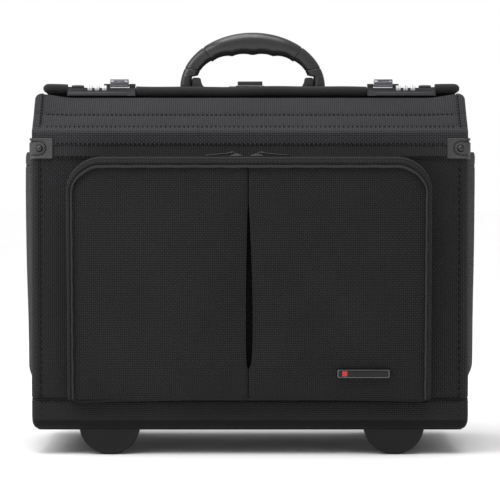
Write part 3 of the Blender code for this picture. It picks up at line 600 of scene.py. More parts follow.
BODY_CLOTH = fabric("body_cloth", (0.0165, 0.0162, 0.0177))
POCKET_CLOTH = fabric("pocket_cloth", (0.0132, 0.0129, 0.0141), 0.0021, 1.2)
# Near-black cloth: painted shade, on the cloth folded inside the pleat and on the lip under the lid's roll.
SHADE_CLOTH = fabric("painted_shade_cloth", (0.0035, 0.0035, 0.0038), 0.0021, 1.2)
# Lighter copy of the body cloth: painted light on the flap's upward slope.
FLAP_LIT_CLOTH = fabric("flap_cloth_painted_light", (0.0290, 0.0288, 0.0328), 0.0023, 0.9)
# Lighter copy of the body cloth: painted light on the band under the flap and on the hinge strip.
BAND_LIT_CLOTH = fabric("band_cloth_painted_light", (0.0330, 0.0325, 0.0352), 0.0023, 0.9)
LINING = fabric("lining_cloth", (0.055, 0.056, 0.060), 0.0007, 1.0, 0.00010, 0.62, 0.3)
LINING_BOARD = fabric("lining_board", (0.050, 0.051, 0.055), 0.0007, 1.0, 0.00010, 0.62, 0.3, flat="XZ")
# Near-black cloth for the foot of the case: painted shade under its rounded lower edge.
BASE_SHADE_CLOTH = webbing("base_painted_shade_cloth", (0.0030, 0.0030, 0.0032))
TRIM = webbing("binding_tape", (0.009, 0.009, 0.0094))
PIPING = webbing("piping_cloth", (0.034, 0.034, 0.036), 0.0008, 0.00015)
ROLL_CLOTH = webbing("roll_cloth", (0.020, 0.020, 0.021), 0.0010, 0.0002)
ZIP_TAPE = webbing("zip_tape", (0.016, 0.016, 0.017), 0.0006, 0.00012)
THREAD = webbing("sewing_thread", (0.0035, 0.0035, 0.0035), 0.0004, 0.00008)
GUARD = plastic("guard_vinyl", (0.032, 0.032, 0.034), 0.46, 700.0, 0.00010, 0.2, 1500.0)
GRIP_PLASTIC = plastic("handle_grip_plastic", (0.020, 0.020, 0.0213), 0.33, 1100.0, 0.00005, 0.2)
MOULDED = plastic("moulded_plastic", (0.026, 0.026, 0.027), 0.52, 800.0, 0.00008)
FOOT_PLASTIC = plastic("foot_plastic", (0.0085, 0.0083, 0.0083), 0.60, 600.0, 0.00006, 0.15, Specular_IOR_Level=0.2)
BUTTON = plastic("button_plastic", (0.012, 0.012, 0.013), 0.16, 300.0, 0.00001, 0.1, Coat_Weight=0.4)
BOARD = plastic("base_board", (0.020, 0.020, 0.021), 0.7, 500.0, 0.00012, 0.1, 900.0)
RUBBER = plastic("wheel_rubber", (0.020, 0.020, 0.021), 0.72, 700.0, 0.00010, 0.3)
HUB = plastic("wheel_hub", (0.060, 0.060, 0.063), 0.42, 900.0, 0.00004)
ENAMEL = plastic("dial_enamel", (0.60, 0.59, 0.58), 0.38, 900.0, 0.00001, 0.0)
INK = plastic("dial_ink", (0.015, 0.015, 0.016), 0.5, 900.0, 0.00001, 0.0)
LOCK_STEEL = metal("lock_steel", (0.060, 0.060, 0.064), 0.40)
FACE_STEEL = metal("lock_face_steel", (0.055, 0.055, 0.058), 0.40)
BRIGHT = metal("bright_steel", (0.125, 0.126, 0.136), 0.26)
ZIP_STEEL = metal("zip_steel", (0.042, 0.042, 0.044), 0.30)
ALUMINIUM = metal("tube_aluminium", (0.46, 0.46, 0.475), 0.32, (900, 900, 30))
BADGE_FACE = plastic("badge_enamel", (0.006, 0.006, 0.007), 0.2, 300.0, 0.000005, 0.0, Specular_IOR_Level=0.25)
BADGE_INLAY = plastic("badge_inlay", (0.42, 0.012, 0.014), 0.3, 300.0, 0.000005, 0.0)
ZIP_TEETH = plastic("zip_teeth", (0.018, 0.018, 0.018), 0.4, 900.0, 0.00003)


# ---- case walls ----
WALL_CROWN = 0.0013  # how far a wall swells between its corners
RIM_ROUND = 0.0026
BASE_SHADE_TOP = BASE + 0.0075  # upper edge of the painted shade round the foot of the case: the rows below it are coloured near black


def wall_points():
    """Points round the walls: position, outward normal, panel (0 front, 1 right, 2 back, 3 left), and the
    distance along the panel from its first corner and from its nearest corner."""
    normals = ((0, -1), (1, 0), (0, 1), (-1, 0))
    spans = ((-SIDE, SIDE, FRONT), (FRONT, BACK, SIDE), (SIDE, -SIDE, BACK), (BACK, FRONT, -SIDE))
    out = []
    for panel, (first, last, level) in enumerate(spans):
        normal, following = normals[panel], normals[(panel + 1) % 4]
        size = abs(last - first)
        order = 1 if panel % 2 == 0 else -1
        for t in ticks(CORNER, size - CORNER, 0.0062, HEM_ROW, size - HEM_ROW, edge=0.004):
            spot = (first + math.copysign(t, last - first), level)[::order]
            out.append((*spot, *normal, panel, t, min(t, size - t)))
        centre = [at - CORNER * (normal[k] + following[k]) for k, at in enumerate((last, level)[::order])]
        for share in (0.2, 0.4, 0.6, 0.8):
            angle = math.atan2(normal[1], normal[0]) + math.pi / 2 * share
            c, s = math.cos(angle), math.sin(angle)
            spot = (centre[0] + CORNER * c, centre[1] + CORNER * s)
            out.append((*spot, c, s, panel if share < 0.5 else (panel + 1) % 4, 0.0, 0.0))
    return np.array(out)


def rim_height(y):
    """Top of the walls: low in front, then up the slope under the flap."""
    slope_start, slope_end = FRONT + 0.0103, FRONT + 0.0618
    low, high = CREASE + 0.0003, CREASE + 0.0350
    height = low + (high - low) * np.clip((y - slope_start) / (slope_end - slope_start), 0, 1)
    height = np.where(y > slope_end + 0.001, RIM, height)
    return np.where(y > BACK - WALL - 0.001, BACK_RIM, height)


def case_shell():
    """The walls as one closed shell: cloth outside, over the rim, and lining inside."""
    x, y, nx, ny, panel, along, edge = wall_points().T
    size = np.where(panel % 2 == 0, 2 * SIDE, BACK - FRONT)
    top = rim_height(y) - RIM_ROUND
    front_hem = np.where(panel == 0, HEM_STEP, 0.0)
    crown = WALL_CROWN * np.sin(np.pi * np.clip(along / size, 0, 1)) ** 0.7 * (edge > 0)
    welt = 0.0007 * bump(edge, 0.0048, 0.0038) - 0.0006 * bump(edge, HEM_ROW, 0.0012)
    slack = 0.0003 * np.sin(along * 61.0 + panel) * np.sin(along * 23.0)
    grid = []

    def ring(offset, z):
        grid.append(np.stack([x + nx * offset, y + ny * offset, z + 0 * x], axis=1))

    heights = [BASE + d for d in (0.0001, 0.0005, 0.0012, 0.0024, 0.0040, 0.0062)]
    heights += list(np.linspace(BASE + 0.009, SEAM - 0.003, 5))
    heights += [SEAM - 0.0006, SEAM + 0.0001, SEAM + 0.0007]
    heights += list(np.linspace(SEAM + 0.0035, BAND_Z - 0.003, 42))
    heights += [BAND_Z - 0.0005, BAND_Z + 0.0001]
    for z in heights:
        swell = math.sin(math.pi * np.clip((z - SEAM) / (RIM - SEAM), 0, 1))
        offset = crown * swell + (welt + slack) * (z > SEAM) + front_hem * float(z > BAND_Z)
        offset = offset + HEM_STEP * float(z < SEAM - 0.0002) - 0.0018 * bump(z, SEAM, 0.0009)
        rise = max(0.0, FOOT_ROUND - (z - BASE)) / FOOT_ROUND
        ring(offset - FOOT_INSET * (1 - math.sqrt(1 - rise**2)), z)
    start = heights[-1]
    for share in (0.12, 0.3, 0.5, 0.7, 0.88):
        ring((welt + slack) * (1 - share) + front_hem, start + (top - start) * share)
    for angle in np.linspace(0, math.pi, 9):
        across = WALL / 2 * (1 - math.cos(angle))
        ring(front_hem * (math.cos(angle) > 0.5) - across, top + RIM_ROUND * math.sin(angle))
    outer_rows = len(grid) - 2
    for share in np.linspace(0.06, 1.0, 12):
        sag = 0.0004 * np.sin(along * 37.0) * math.sin(math.pi * share)
        ring(-(WALL + sag), top + (FLOOR - top) * share)
    for inset, z in ((0.016, FLOOR), (0.016, BASE + 0.0005), (0.008, BASE)):
        ring(-inset, z)
    shaded_rows = sum(z < BASE_SHADE_TOP for z in heights)

    def paint(i, j):
        if outer_rows <= i < len(grid) - 2:
            return 1
        # The lowest rows take the near-black cloth: painted shade under the case's rounded foot.
        if i < shaded_rows:
            return 3
        # The front above the band's edge takes the lighter cloth: painted light.
        return 2 if len(heights) <= i < outer_rows and panel[j] == 0 else 0

    cloths = [BODY_CLOTH, LINING, BAND_LIT_CLOTH, BASE_SHADE_CLOTH]
    shell = outward(surface("case_walls", grid, cloths, loop=True, ring=True, paint=paint))
    carve_wells(shell)
    walls = ("front_panel", "back_panel", "side_panel_left", "side_panel_right", "bottom_tray")
    put(shell, "case", "body_fabric", *walls)


def carve_wells(obj):
    """Leaves room for the wheel housings."""
    room = Vector((0.0003, 0.0003, 0.0003))
    cutters = []
    for side in (-1, 1):
        low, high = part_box(side_name("wheel_housing", side))
        cutters.append(block(f"well_{side}", low - room, high + room + Vector((0, 0.05, 0)), MOULDED, 0.001, 1))
    carve(obj, *cutters)


def board(name, level, u_end, v_ends, top, bottom, material, edge, corner=0.0):
    """A level board across the case, with room for the wheel housings."""
    us, vs = ticks(-u_end, u_end, 0.012), ticks(*v_ends, 0.012)
    lay = lambda u, v, h: np.stack([u, v, level + h], -1)
    piece = pad(name, us, vs, lay, top, bottom, [material], edge, corner)
    carve_wells(piece)
    return piece


def case_boards():
    """The padded inner floor, and the ribbed base under the case."""
    inside = WALL + 0.0008
    ends = (FRONT + inside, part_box("tube_cover")[0].y - 0.0005)
    cushion = lambda u, v: 0.0022 + 0.0012 * np.cos(u * 6.0) * np.cos(v * 12.0)
    floor = board("floor_pad", FLOOR, SIDE - inside, ends, cushion, -0.0002, LINING, 0.0025)
    put(floor, "case", "lining", fill=0.5)
    ribs = lambda u, v: -0.0004 - 0.0006 * smooth(np.sin(v * 170.0) * 3 - 1.5) * (np.abs(u) < SIDE - 0.03)
    ends = (FRONT + 0.012, BACK - 0.012)
    base = board("base_plate", BASE + 0.0012, SIDE - 0.012, ends, 0.0035, ribs, BOARD, 0.002, 0.01)
    put(base, "case", "moulded_plastic")


def mirrored(points):
    """A path on the left side, carried on over the middle to the right side."""
    return points + [(-p[0], *p[1:]) for p in points[::-1]]


def case_stitching():
    """Thread on the walls: beside the vertical edges, in the doubled band under the flap, above the base
    band, and on the back. Cords lie in the base band's seam and round its lower edge."""
    rows = []
    skin, below_band, side_start = 0.0001, BAND_Z - 0.004, 0.07
    for side in (-1, 1):
        x = side * (SIDE - HEM_ROW)
        rows.append(([(x, FRONT - skin, BASE + 0.008), (x, FRONT - skin, below_band)], -Y))
        rows.append(([(x, BACK + skin, side_start), (x, BACK + skin, below_band)], Y))
        x = side * (SIDE + skin)
        for y, top in ((FRONT + HEM_ROW, below_band), (BACK - HEM_ROW, RIM - 0.008)):
            rows.append(([(x, y, side_start), (x, y, top)], (side, 0, 0)))
    stitches("edge_stitching", rows, "case", 0.0042, 0.00060, SIDE_STITCH_PITCH)
    inside = GUARD_HIGH.x - 0.0259
    rows = []
    for z, over in ((BAND_Z + 0.0022, 0.0012), (BAND_Z + 0.0167, 0.0008)):
        y = FRONT - HEM_STEP - over
        rows.append(([(-inside, y, z), (inside, y, z)], -Y))
    stitches("band_stitching", rows, "case")
    z, rear = SEAM - 0.0028, 0.074
    rows = [([(x * (SIDE - 0.006), FRONT - HEM_STEP, z) for x in (-1, 1)], -Y)]
    for side in (-1, 1):
        x = side * (SIDE + HEM_STEP)
        rows.append(([(x, FRONT + 0.006, z), (x, rear, z)], (side, 0, 0)))
    stitches("base_band_stitching", rows, "case", 0.0026, 0.00040, 0.0042)
    edges = (
        ("base_seam", -SIDE, FRONT, CORNER, 0.0016, SEAM, 0.0010, THREAD),
        # This cord round the foot is a piping, coloured with the near-black cloth: painted shade under the foot.
        ("base_binding_painted_shade", -SIDE + FOOT_INSET + 0.0004, FRONT + FOOT_INSET + 0.0004, 0.004, 0.0012,
         BASE + 0.0002, 0.0021, BASE_SHADE_CLOTH),
    )
    for name, x, y, corner, cut, z, radius, material in edges:
        plan = mirrored([(x, rear, z), (x, y + corner, z), (x + cut, y + cut, z), (x + corner, y, z)])
        put(cord(name, resample(plan, 0.004), radius, material), "case", "body_fabric")
    y = BACK + 0.0002
    rows = [([(-SIDE + 0.013, y, z), (SIDE - 0.013, y, z)], Y) for z in (BACK_RIM - 0.012, BACK_RIM - 0.022, 0.075)]
    wide, low, high = SIDE - 0.040, 0.098, BACK_RIM - 0.052
    outline = [(-wide, y, low), (-wide, y, high), (wide, y, high), (wide, y, low), (-wide, y, low)]
    stitches("back_stitching", rows + [(pair, Y) for pair in zip(outline, outline[1:])], "case")


# ---- flap ----
HINGE_Z = CREASE + 0.0015
FLAP_ROWS = (0.0085, 0.0330)  # stitch rows, measured up the flap


def flap_place(u, v, h):
    """A point across the flap at u, v up from its crease and h out from its face."""
    c, s = math.cos(FLAP_SLOPE), math.sin(FLAP_SLOPE)
    return np.stack([u, FRONT + v * c - h * s, HINGE_Z + v * s + h * c], -1)


FLAP_NORMAL = flap_place(0, 0, 1.0) - flap_place(0, 0, 0.0)


def flap_curl(u, v):
    """The flap's ends lift towards its free edge."""
    lift = smooth((np.abs(u) - (SIDE - 0.042)) / 0.040)
    return 0.0058 * lift * (np.maximum(v, 0) / FLAP_LENGTH) ** 1.8


def flap_face(u, v):
    """Height of the flap's outer face: crowned between its stitch rows, and hemmed at its ends."""
    low, high = FLAP_ROWS
    crown = 0.0011 * np.sin(np.pi * np.clip((v - high) / (FLAP_LENGTH - high), 0, 1))
    crown = crown + 0.0005 * np.sin(np.pi * np.clip((v - low) / (high - low), 0, 1))
    crown = crown - 0.0006 * bump(v, low, 0.0014) - 0.0006 * bump(v, high, 0.0014)
    ends = SIDE - np.abs(u)
    crown = crown + 0.0008 * smooth((HEM_ROW - ends) / 0.0006) - 0.0004 * bump(ends, 0.0102, 0.0008)
    ripple = 0.00025 * np.sin(u * 63.0) * np.sin(v * 90.0)
    return crown + flap_curl(u, v) + ripple


def flap_back(u, v):
    """Height of the flap's inner face: thin at the crease."""
    return flap_curl(u, v) - np.minimum(FLAP_THICK, 0.0014 + np.maximum(v - 0.0004, 0) * 0.64)


def front_flap():
    us = ticks(-SIDE, SIDE, 0.006, -SIDE + HEM_ROW, SIDE - HEM_ROW)
    vs = ticks(0.0004, FLAP_LENGTH, 0.004, *FLAP_ROWS)
    # The flap takes the lighter cloth: painted light on its upward slope.
    flap = pad("flap_panel", us, vs, flap_place, flap_face, flap_back, [FLAP_LIT_CLOTH, LINING], 0.003, 0.009)
    put(flap, "flap", "body_fabric", "front_flap", fill=0.7)

    def row(u, v, face, over, normal):
        u, v = np.broadcast_arrays(u, v)
        rows.append((flap_place(u, v, face(u, v) + over), normal))

    rows = []
    for v, over in zip(FLAP_ROWS, (0.0010, 0.0004)):
        row(np.linspace(-SIDE + 0.0115, SIDE - 0.0115, 60), v, flap_face, over, FLAP_NORMAL)
    for side in (-1, 1):
        row(side * (SIDE - 0.0086), np.linspace(0.004, FLAP_LENGTH - 0.003, 12), flap_face, 0.0002, FLAP_NORMAL)
    for v in (0.012, FLAP_LENGTH - 0.006):
        row(np.linspace(-SIDE + 0.016, SIDE - 0.016, 60), v, flap_back, -0.0002, -FLAP_NORMAL)
    stitches("flap_stitching", rows, "flap")
    hinge_strip()


def hinge_strip():
    """The strip of cloth the flap folds on, sewn to the walls below the crease and to the flap above it."""
    drop, reach = 0.0148, FLAP_ROWS[0] + 0.0032
    xs = ticks(-SIDE + 0.0005, SIDE - 0.0005, 0.008)
    across = np.stack([xs, 0 * xs, 0 * xs], -1)
    outer, inner = [], []
    for s in ticks(-drop, reach, 0.0022, edge=0.001):
        point = np.array((0, FRONT - HEM_STEP, HINGE_Z + s)) if s < 0 else flap_place(0, s, 0.0)
        blend = smooth((s + 0.0035) / 0.007)
        normal = unit(-Y * (1 - blend) + FLAP_NORMAL * blend)
        lift = 0.0006 + 0.0006 * bump(s, 0.0, 0.004)
        lift = lift - 0.0005 * bump(s, FLAP_ROWS[0], 0.0011) - 0.0003 * bump(s, -drop + 0.0022, 0.0010)
        curl = flap_curl(xs, max(s, 0.0))[:, None] * normal
        outer.append(point + normal * lift + curl + across)
        inner.append(point + normal * 0.0001 + curl + across)
    # The strip takes the lighter cloth: painted light.
    strip = outward(surface("flap_hinge_strip", np.array(outer + inner[::-1]), [BAND_LIT_CLOTH], loop=True))
    with editing(strip) as bm:
        bmesh.ops.holes_fill(bm, edges=[e for e in bm.edges if e.is_boundary], sides=0)
    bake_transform(strip)


# ---- lid ----
LID_MIDDLE = (LID_LOW.x + LID_HIGH.x) / 2
LID_HALF = (LID_HIGH.x - LID_LOW.x) / 2
LID_ROW = 0.0135  # from the lid's edge to its thread


def lid_curl(x):
    """The lid's soft front edge lifts towards its ends."""
    return 0.0030 * smooth((np.abs(x - LID_MIDDLE) - 0.150) / 0.075)


def lid_place(u, v, h):
    front = smooth((LID_LOW.y + 0.050 - v) / 0.05)
    return np.stack([u, v, h + lid_curl(u) * front], -1)


def lid_top(u, v):
    near = np.minimum(LID_HALF - np.abs(u - LID_MIDDLE), LID_HIGH.y - v)
    crown = 0.0010 * smooth(near / 0.03) + 0.0006 * smooth((HEM_ROW - near) / 0.0006)
    crown = crown - 0.0005 * bump(near, LID_ROW, 0.0012)
    ripple = 0.0003 * np.sin(u * 41.0) * np.sin(v * 57.0 + 1.0)
    return LID_HIGH.z - 0.0012 + crown + ripple


def rear_lid():
    lines = [x for d in (HEM_ROW, LID_ROW) for x in (LID_LOW.x + d, LID_HIGH.x - d)]
    us = ticks(LID_LOW.x, LID_HIGH.x, 0.0065, *lines)
    vs = ticks(LID_LOW.y - 0.004, LID_HIGH.y, 0.0065, LID_HIGH.y - HEM_ROW, LID_HIGH.y - LID_ROW)
    panel = pad("lid_panel", us, vs, lid_place, lid_top, LID_LOW.z, [BODY_CLOTH, LINING], 0.003, 0.006)
    put(panel, "lid", "body_fabric", "rear_lid", "lid_edge_roll", fill=0.6)
    left, right, front, back = LID_LOW.x + LID_ROW, LID_HIGH.x - LID_ROW, LID_LOW.y + 0.004, LID_HIGH.y - LID_ROW
    plan = [(left, front, 0.0), (left, back, 0.0), (right, back, 0.0), (right, front, 0.0)]
    over = resample(plan, 0.004)
    over[:, 2] = lid_top(over[:, 0], over[:, 1]) + 0.0003
    under = resample([(x, y, LID_LOW.z - 0.0002) for x, y, _ in plan], 0.004)
    stitches("lid_stitching", [(lid_place(*over.T), Z), (lid_place(*under.T), -Z)], "lid")
    lid_roll()
    xs = ticks(LID_LOW.x + 0.006, LID_HIGH.x - 0.006, 0.008)
    path = np.stack([xs, 0 * xs + (ROLL_LOW.y + ROLL_HIGH.y) / 2, ROLL_LOW.z - 0.0018 + lid_curl(xs)], -1)
    # The lip under the roll is near-black: a painted shadow in the gap between the roll and the flap.
    put(rod("lid_shadow_lip", path, ellipse(0.0042, 0.0042, 16, 3.0), Z, SHADE_CLOTH), "lid", "body_fabric")


def lid_roll():
    """The thick soft roll along the lid's front edge, broken by the two locks."""
    lock_low, lock_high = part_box("lock_base_right")
    lock_in, lock_out = lock_low.x - 0.0006, lock_high.x + 0.0006
    spans = {
        "lid_roll_left": (ROLL_LOW.x, 2 * LID_MIDDLE - lock_out),
        "lid_roll_middle": (2 * LID_MIDDLE - lock_in, lock_in),
        "lid_roll_right": (lock_out, ROLL_HIGH.x),
    }
    middle, half = (ROLL_HIGH + ROLL_LOW) / 2, (ROLL_HIGH - ROLL_LOW) / 2
    for name, (low, high) in spans.items():
        xs = ticks(low, high, 0.006, edge=0.005)
        shape = []
        for x in xs:
            nose = 1.0
            if name != "lid_roll_middle":
                nose = float(quarter(abs(x - (low if "left" in name else high)) + 0.0004, 0.0065))
            shape.append(ellipse(half.y * (0.35 + 0.65 * nose), half.z * max(nose, 0.12), 28, 2.7))
        sag = 0.0004 * np.sin(xs * 29.0) + 0.0003 * np.sin(xs * 71.0)
        path = np.stack([xs, middle.y + 0 * xs, middle.z + lid_curl(xs) + sag], -1)
        put(rod(name, path, np.array(shape), Z, ROLL_CLOTH), "lid", "body_fabric", fill=0.8)


# ---- front pocket ----
POCKET_SLOPE = 0.0755
POCKET_ROUND = 0.037  # radius of the pocket's upper corners
FACE_INSET = 0.0052  # from the pocket's outline to the edge of its front
GUSSET_ROLL = (0.0019, 0.0060)  # these three are at the pocket's sides, then at its top
PIPING_INSET = (0.0044, 0.0092)
PIPING_RADIUS = (0.00125, 0.00180)
PLEAT_X = -0.0022
PLEAT_HIGH, PLEAT_LOW = 0.2787, 0.0955
PLEAT_FOLD = 0.013  # depth of the cloth folded under each side of the pleat


def pocket_face_y(z):
    """The plane of the pocket's front, which leans in towards its bottom."""
    return POCKET_LOW.y + POCKET_SLOPE * (POCKET_HIGH.z - z)


def pocket_edge(step=0.006):
    """Points up the pocket's left side, over its top and down its right side: (x, z), then the outward
    direction in the pocket's plane."""
    radius = POCKET_ROUND
    left, right, top = POCKET_LOW.x + radius, POCKET_HIGH.x - radius, POCKET_HIGH.z - radius
    rise = np.arange(POCKET_LOW.z, top, step)
    turn = np.linspace(math.pi, math.pi / 2, 15)
    arcs = [
        [(x + radius * math.cos(a), top + radius * math.sin(a), math.cos(a), math.sin(a)) for a in angles]
        for x, angles in ((left, turn), (right, np.linspace(math.pi / 2, 0, 15)))
    ]
    across = np.linspace(left, right, int((right - left) / step) + 1)[1:-1]
    points = [(POCKET_LOW.x, z, -1.0, 0.0) for z in rise] + arcs[0]
    points += [(x, POCKET_HIGH.z, 0.0, 1.0) for x in across] + arcs[1]
    return np.array(points + [(POCKET_HIGH.x, z, 1.0, 0.0) for z in rise[::-1]])


def over_top(points, at_sides, at_top):
    """A measure that differs between the pocket's sides and its top."""
    return at_sides + (at_top - at_sides) * smooth(points[:, 3])


def pocket_rim(points, inset, forward):
    """Places on the pocket: inset inwards from its outline, and forward of the face's plane."""
    x = points[:, 0] - points[:, 2] * inset
    z = points[:, 1] - points[:, 3] * inset
    return np.stack([x, pocket_face_y(z) - forward, z], -1)


def pocket_gusset():
    """The pocket's side band: from the walls forward, then rolled over to meet the piping."""
    points = pocket_edge()
    sides = over_top(points, 1.0, 0.0)
    roll = over_top(points, *GUSSET_ROLL)
    depth = FRONT - pocket_face_y(points[:, 1])
    rows = []
    for share in (0.0, 0.02, 0.12, 0.2, 0.3, 0.45, 0.6, 0.75, 0.88):
        swell = (0.0004 * math.sin(math.pi * share) - 0.0006 - 0.0004 * bump(share, 0.2, 0.03)) * sides
        x, z = (points[:, k] + points[:, k + 2] * swell for k in (0, 1))
        rows.append(np.stack([x, FRONT - 0.0003 - (depth - roll) * share, z], -1))
    for angle in np.linspace(0, math.pi / 2, 7):
        inset = roll * (1 - math.cos(angle))
        rows.append(pocket_rim(points, inset, -roll + roll * math.sin(angle) + 0.0004))
    for past, back in ((0.0006, 0.0006), (0.0012, 0.0030), (0.0042, 0.0045)):
        rows.append(pocket_rim(points, roll + past, -back))
    gusset = surface("pocket_gusset", np.array(rows), [POCKET_CLOTH])
    thicken(gusset, 0.0011)
    put(gusset, "case", "body_fabric")


def pocket_piping():
    points = pocket_edge(0.004)
    wave = 0.0002 * np.sin(np.arange(len(points)) * 0.9)
    path = pocket_rim(points, over_top(points, *PIPING_INSET) + wave, -0.0002)
    profile = ellipse(1.0, 1.0, 12)[None] * over_top(points, *PIPING_RADIUS)[:, None, None]
    put(rod("pocket_piping", path, profile, -Y, PIPING), "case", "body_fabric")


def pleat_opening(z):
    """Half the width of the pleat's mouth: shut at its top and foot, and widest two thirds down."""
    t = np.clip((PLEAT_HIGH - z) / (PLEAT_HIGH - PLEAT_LOW), 0, 1)
    return 0.00055 + 0.0070 * t**0.9 * (1 - t) ** 0.35


def pocket_face():
    """The front: two halves of cloth that meet at an inverted pleat and swell a little between their seams."""
    left, right = POCKET_LOW.x + FACE_INSET, POCKET_HIGH.x - FACE_INSET
    low, high = POCKET_LOW.z - 0.0006, POCKET_HIGH.z - 0.0105
    radius = POCKET_ROUND - FACE_INSET
    flat_left = ticks(left, PLEAT_X, 0.0055, edge=0.003)
    flat_right = ticks(PLEAT_X, right, 0.0055, edge=0.003)
    turn = [(0.0, 0.0012), (-0.0012, 0.0024)]
    turn += [(-PLEAT_FOLD, 0.0050), (-PLEAT_FOLD - 0.0008, 0.0070), (-PLEAT_FOLD, 0.0090)]
    folds = 2 * len(turn) + 1
    deep = [dy for _, dy in turn]
    deep = np.concatenate([0 * flat_left, deep, [0.0105], deep[::-1], 0 * flat_right])
    free = np.concatenate([np.ones_like(flat_left), np.zeros(folds), np.ones_like(flat_right)])
    first, last = len(flat_left) - 1, len(flat_left) + folds
    free[[first, last]] = 0.15
    rows = []
    for z in ticks(low, high, 0.0055, low + 0.004, edge=0.004):
        half = float(pleat_opening(z))
        a, b = PLEAT_X - 0.65 * half, PLEAT_X + 1.35 * half
        x_left = left + (flat_left - left) * (a - left) / (PLEAT_X - left)
        x_right = right - (right - flat_right) * (right - b) / (right - PLEAT_X)
        under = [a + dx for dx, _ in turn] + [PLEAT_X] + [b - dx for dx, _ in turn[::-1]]
        xs = np.concatenate([x_left, under, x_right])
        reach = radius - math.sqrt(max(radius**2 - max(0.0, z - high + radius) ** 2, 0.0))
        inner_left = np.maximum(xs, left + reach + (xs - left) * 0.02)
        xs = np.where(xs < 0, inner_left, np.minimum(xs, right - reach - (right - xs) * 0.02))
        rows.append(np.stack([xs, pocket_face_y(z) + 0.0022 + deep, np.full_like(xs, z)], -1))
    grid = np.array(rows)
    x, z = grid[..., 0], grid[..., 2]
    from_side = np.minimum(x - left, right - x)
    cx, cz = np.maximum(radius - from_side, 0), np.maximum(radius - (high - z), 0)
    square = np.minimum(from_side, np.minimum(z - low, high - z))
    near = np.maximum(np.where((cx > 0) & (cz > 0), radius - np.hypot(cx, cz), square), 0)
    aside = np.abs(x - PLEAT_X)
    share = np.where(x < PLEAT_X, (x - left) / (PLEAT_X - left), (right - x) / (right - PLEAT_X))
    half_swell = np.sin(np.pi * np.clip(share, 0, 1))
    swell = 0.0016 * smooth(near / 0.012) + 0.0030 * half_swell * smooth(near / 0.06)
    fan = np.sin(np.arctan2(high - z + 0.004, aside + 0.004) * 11.0)
    pucker = 0.0006 * fan * bump(high - z, 0.012, 0.018) * smooth(aside / 0.01) * smooth((0.085 - aside) / 0.06)
    wave = 0.0005 * np.sin(x * 31.0 + 0.7) * np.sin(z * 24.0) * smooth(near / 0.05)
    valley = 0.0014 * bump(x, PLEAT_X, 0.0026)
    grid[..., 1] -= (swell + pucker + wave - valley) * (free > 0)
    # The cloth folded under the pleat takes the near-black cloth: painted shade inside the pleat's mouth.
    paint = lambda i, j: int(first < j < last - 1)
    face = surface("pocket_face", grid, [POCKET_CLOTH, SHADE_CLOTH], paint=paint)
    simulate(face, (free * smooth((near - 0.003) / 0.010)).ravel(), 1.2, 0.0035, frames=14)
    thicken(face, 0.0009)
    put(face, "case", "body_fabric", "front_pocket", fill=0.3)


def pocket_foot():
    """The cord sewn along the foot of the pocket."""
    left, right, z = POCKET_LOW.x, POCKET_HIGH.x, POCKET_LOW.z
    dips = {
        left: 0.0, left + 0.012: 0.0028, left + 0.06: 0.0012, PLEAT_X - 0.05: 0.0, PLEAT_X + 0.1: 0.0,
        right - 0.05: 0.0008, right - 0.012: 0.0016, right: 0.0,
    }
    line = resample([(x, pocket_face_y(z - dip) + 0.0030, z - dip - 0.0002) for x, dip in dips.items()], 0.005)
    put(cord("pocket_foot_seam", line, 0.0011, TRIM, up=-Y), "case", "body_fabric")


# ---- zip ----
ZIP_DROP = 0.115  # how far the zip runs down the pocket's sides
TOOTH_PITCH = 0.0017


def zip_chain():
    """The zip along the pocket's top: two tapes and a row of teeth, down to the sides past both corners."""
    slider_low, slider_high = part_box("zip_slider_left")
    points = pocket_edge(0.003)
    points = points[points[:, 1] > POCKET_HIGH.z - ZIP_DROP]
    path = np.stack([points[:, 0], np.full(len(points), (slider_low.y + slider_high.y) / 2), points[:, 1]], -1)
    out = np.stack([points[:, 2], 0 * points[:, 2], points[:, 3]], -1)
    outline = np.array(mm((0, 0), (0.6, 0.2), (0.6, 0.7), (4.5, 0.6), (8.5, 0.4), (8.5, 0)))
    tapes = [rod(f"tape_{edge}", path, outline * (edge, 1), out, ZIP_TAPE) for edge in (-1, 1)]
    put(merge("zip_tapes", tapes), "case", "body_fabric")
    even = resample(path, TOOTH_PITCH)
    normals = unit(np.stack([np.interp(running(even), running(path), out[:, k]) for k in range(3)], -1))
    vertices, faces = [], []
    ring = ellipse(0.00055, 0.0007, 6)
    for k, (centre, normal) in enumerate(zip(even, normals)):
        tangent = np.cross(normal, Y)
        shift = 0.0005 if k % 2 else -0.0005
        faces += tube_faces(len(vertices), 4)
        for y, size in ((-0.0019, 0.5), (-0.0012, 1.0), (0.0012, 1.0), (0.0019, 0.5)):
            middle = centre + normal * 0.0010 + Y * (y + shift)
            vertices += [middle + tangent * a * size + normal * b * size for a, b in ring]
    put(outward(add_mesh("zip_teeth", vertices, faces, [ZIP_TEETH])), "case", "moulded_plastic")


def zip_slider(side):
    """A slider: its shell, its nose, and the bridge that holds its pull."""
    name = side_name("zip_slider", side)
    low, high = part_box(name)
    middle, y, z = (low.x + high.x) / 2, (low.y + high.y) / 2, low.z
    shell = block("shell", (low.x, low.y, z - 0.0004), (high.x, high.y, z + 0.0030), ZIP_STEEL, 0.0012)
    nose_low, nose_high = (middle - 0.0035, y - 0.0020, z + 0.0024), (middle + 0.0035, y + 0.0020, z + 0.0040)
    nose = block("nose", nose_low, nose_high, ZIP_STEEL)
    pin_x = (low.x if side < 0 else high.x) - side * 0.0008
    arch = mm((middle, z), (-1.0, 3.0), (1.2, 5.2), flip=side)
    arch += mm((pin_x, z), (0, 5.8), (1.2, 4.4), (0.6, 2.6), flip=side)
    line = resample([(x, y, z) for x, z in arch], 0.0008)
    bridge = cord("bridge", line, 0.0007, ZIP_STEEL, up=Y, sides=8)
    put(merge(name + "_metal", [shell, nose, bridge]), name, "bright_steel", name)


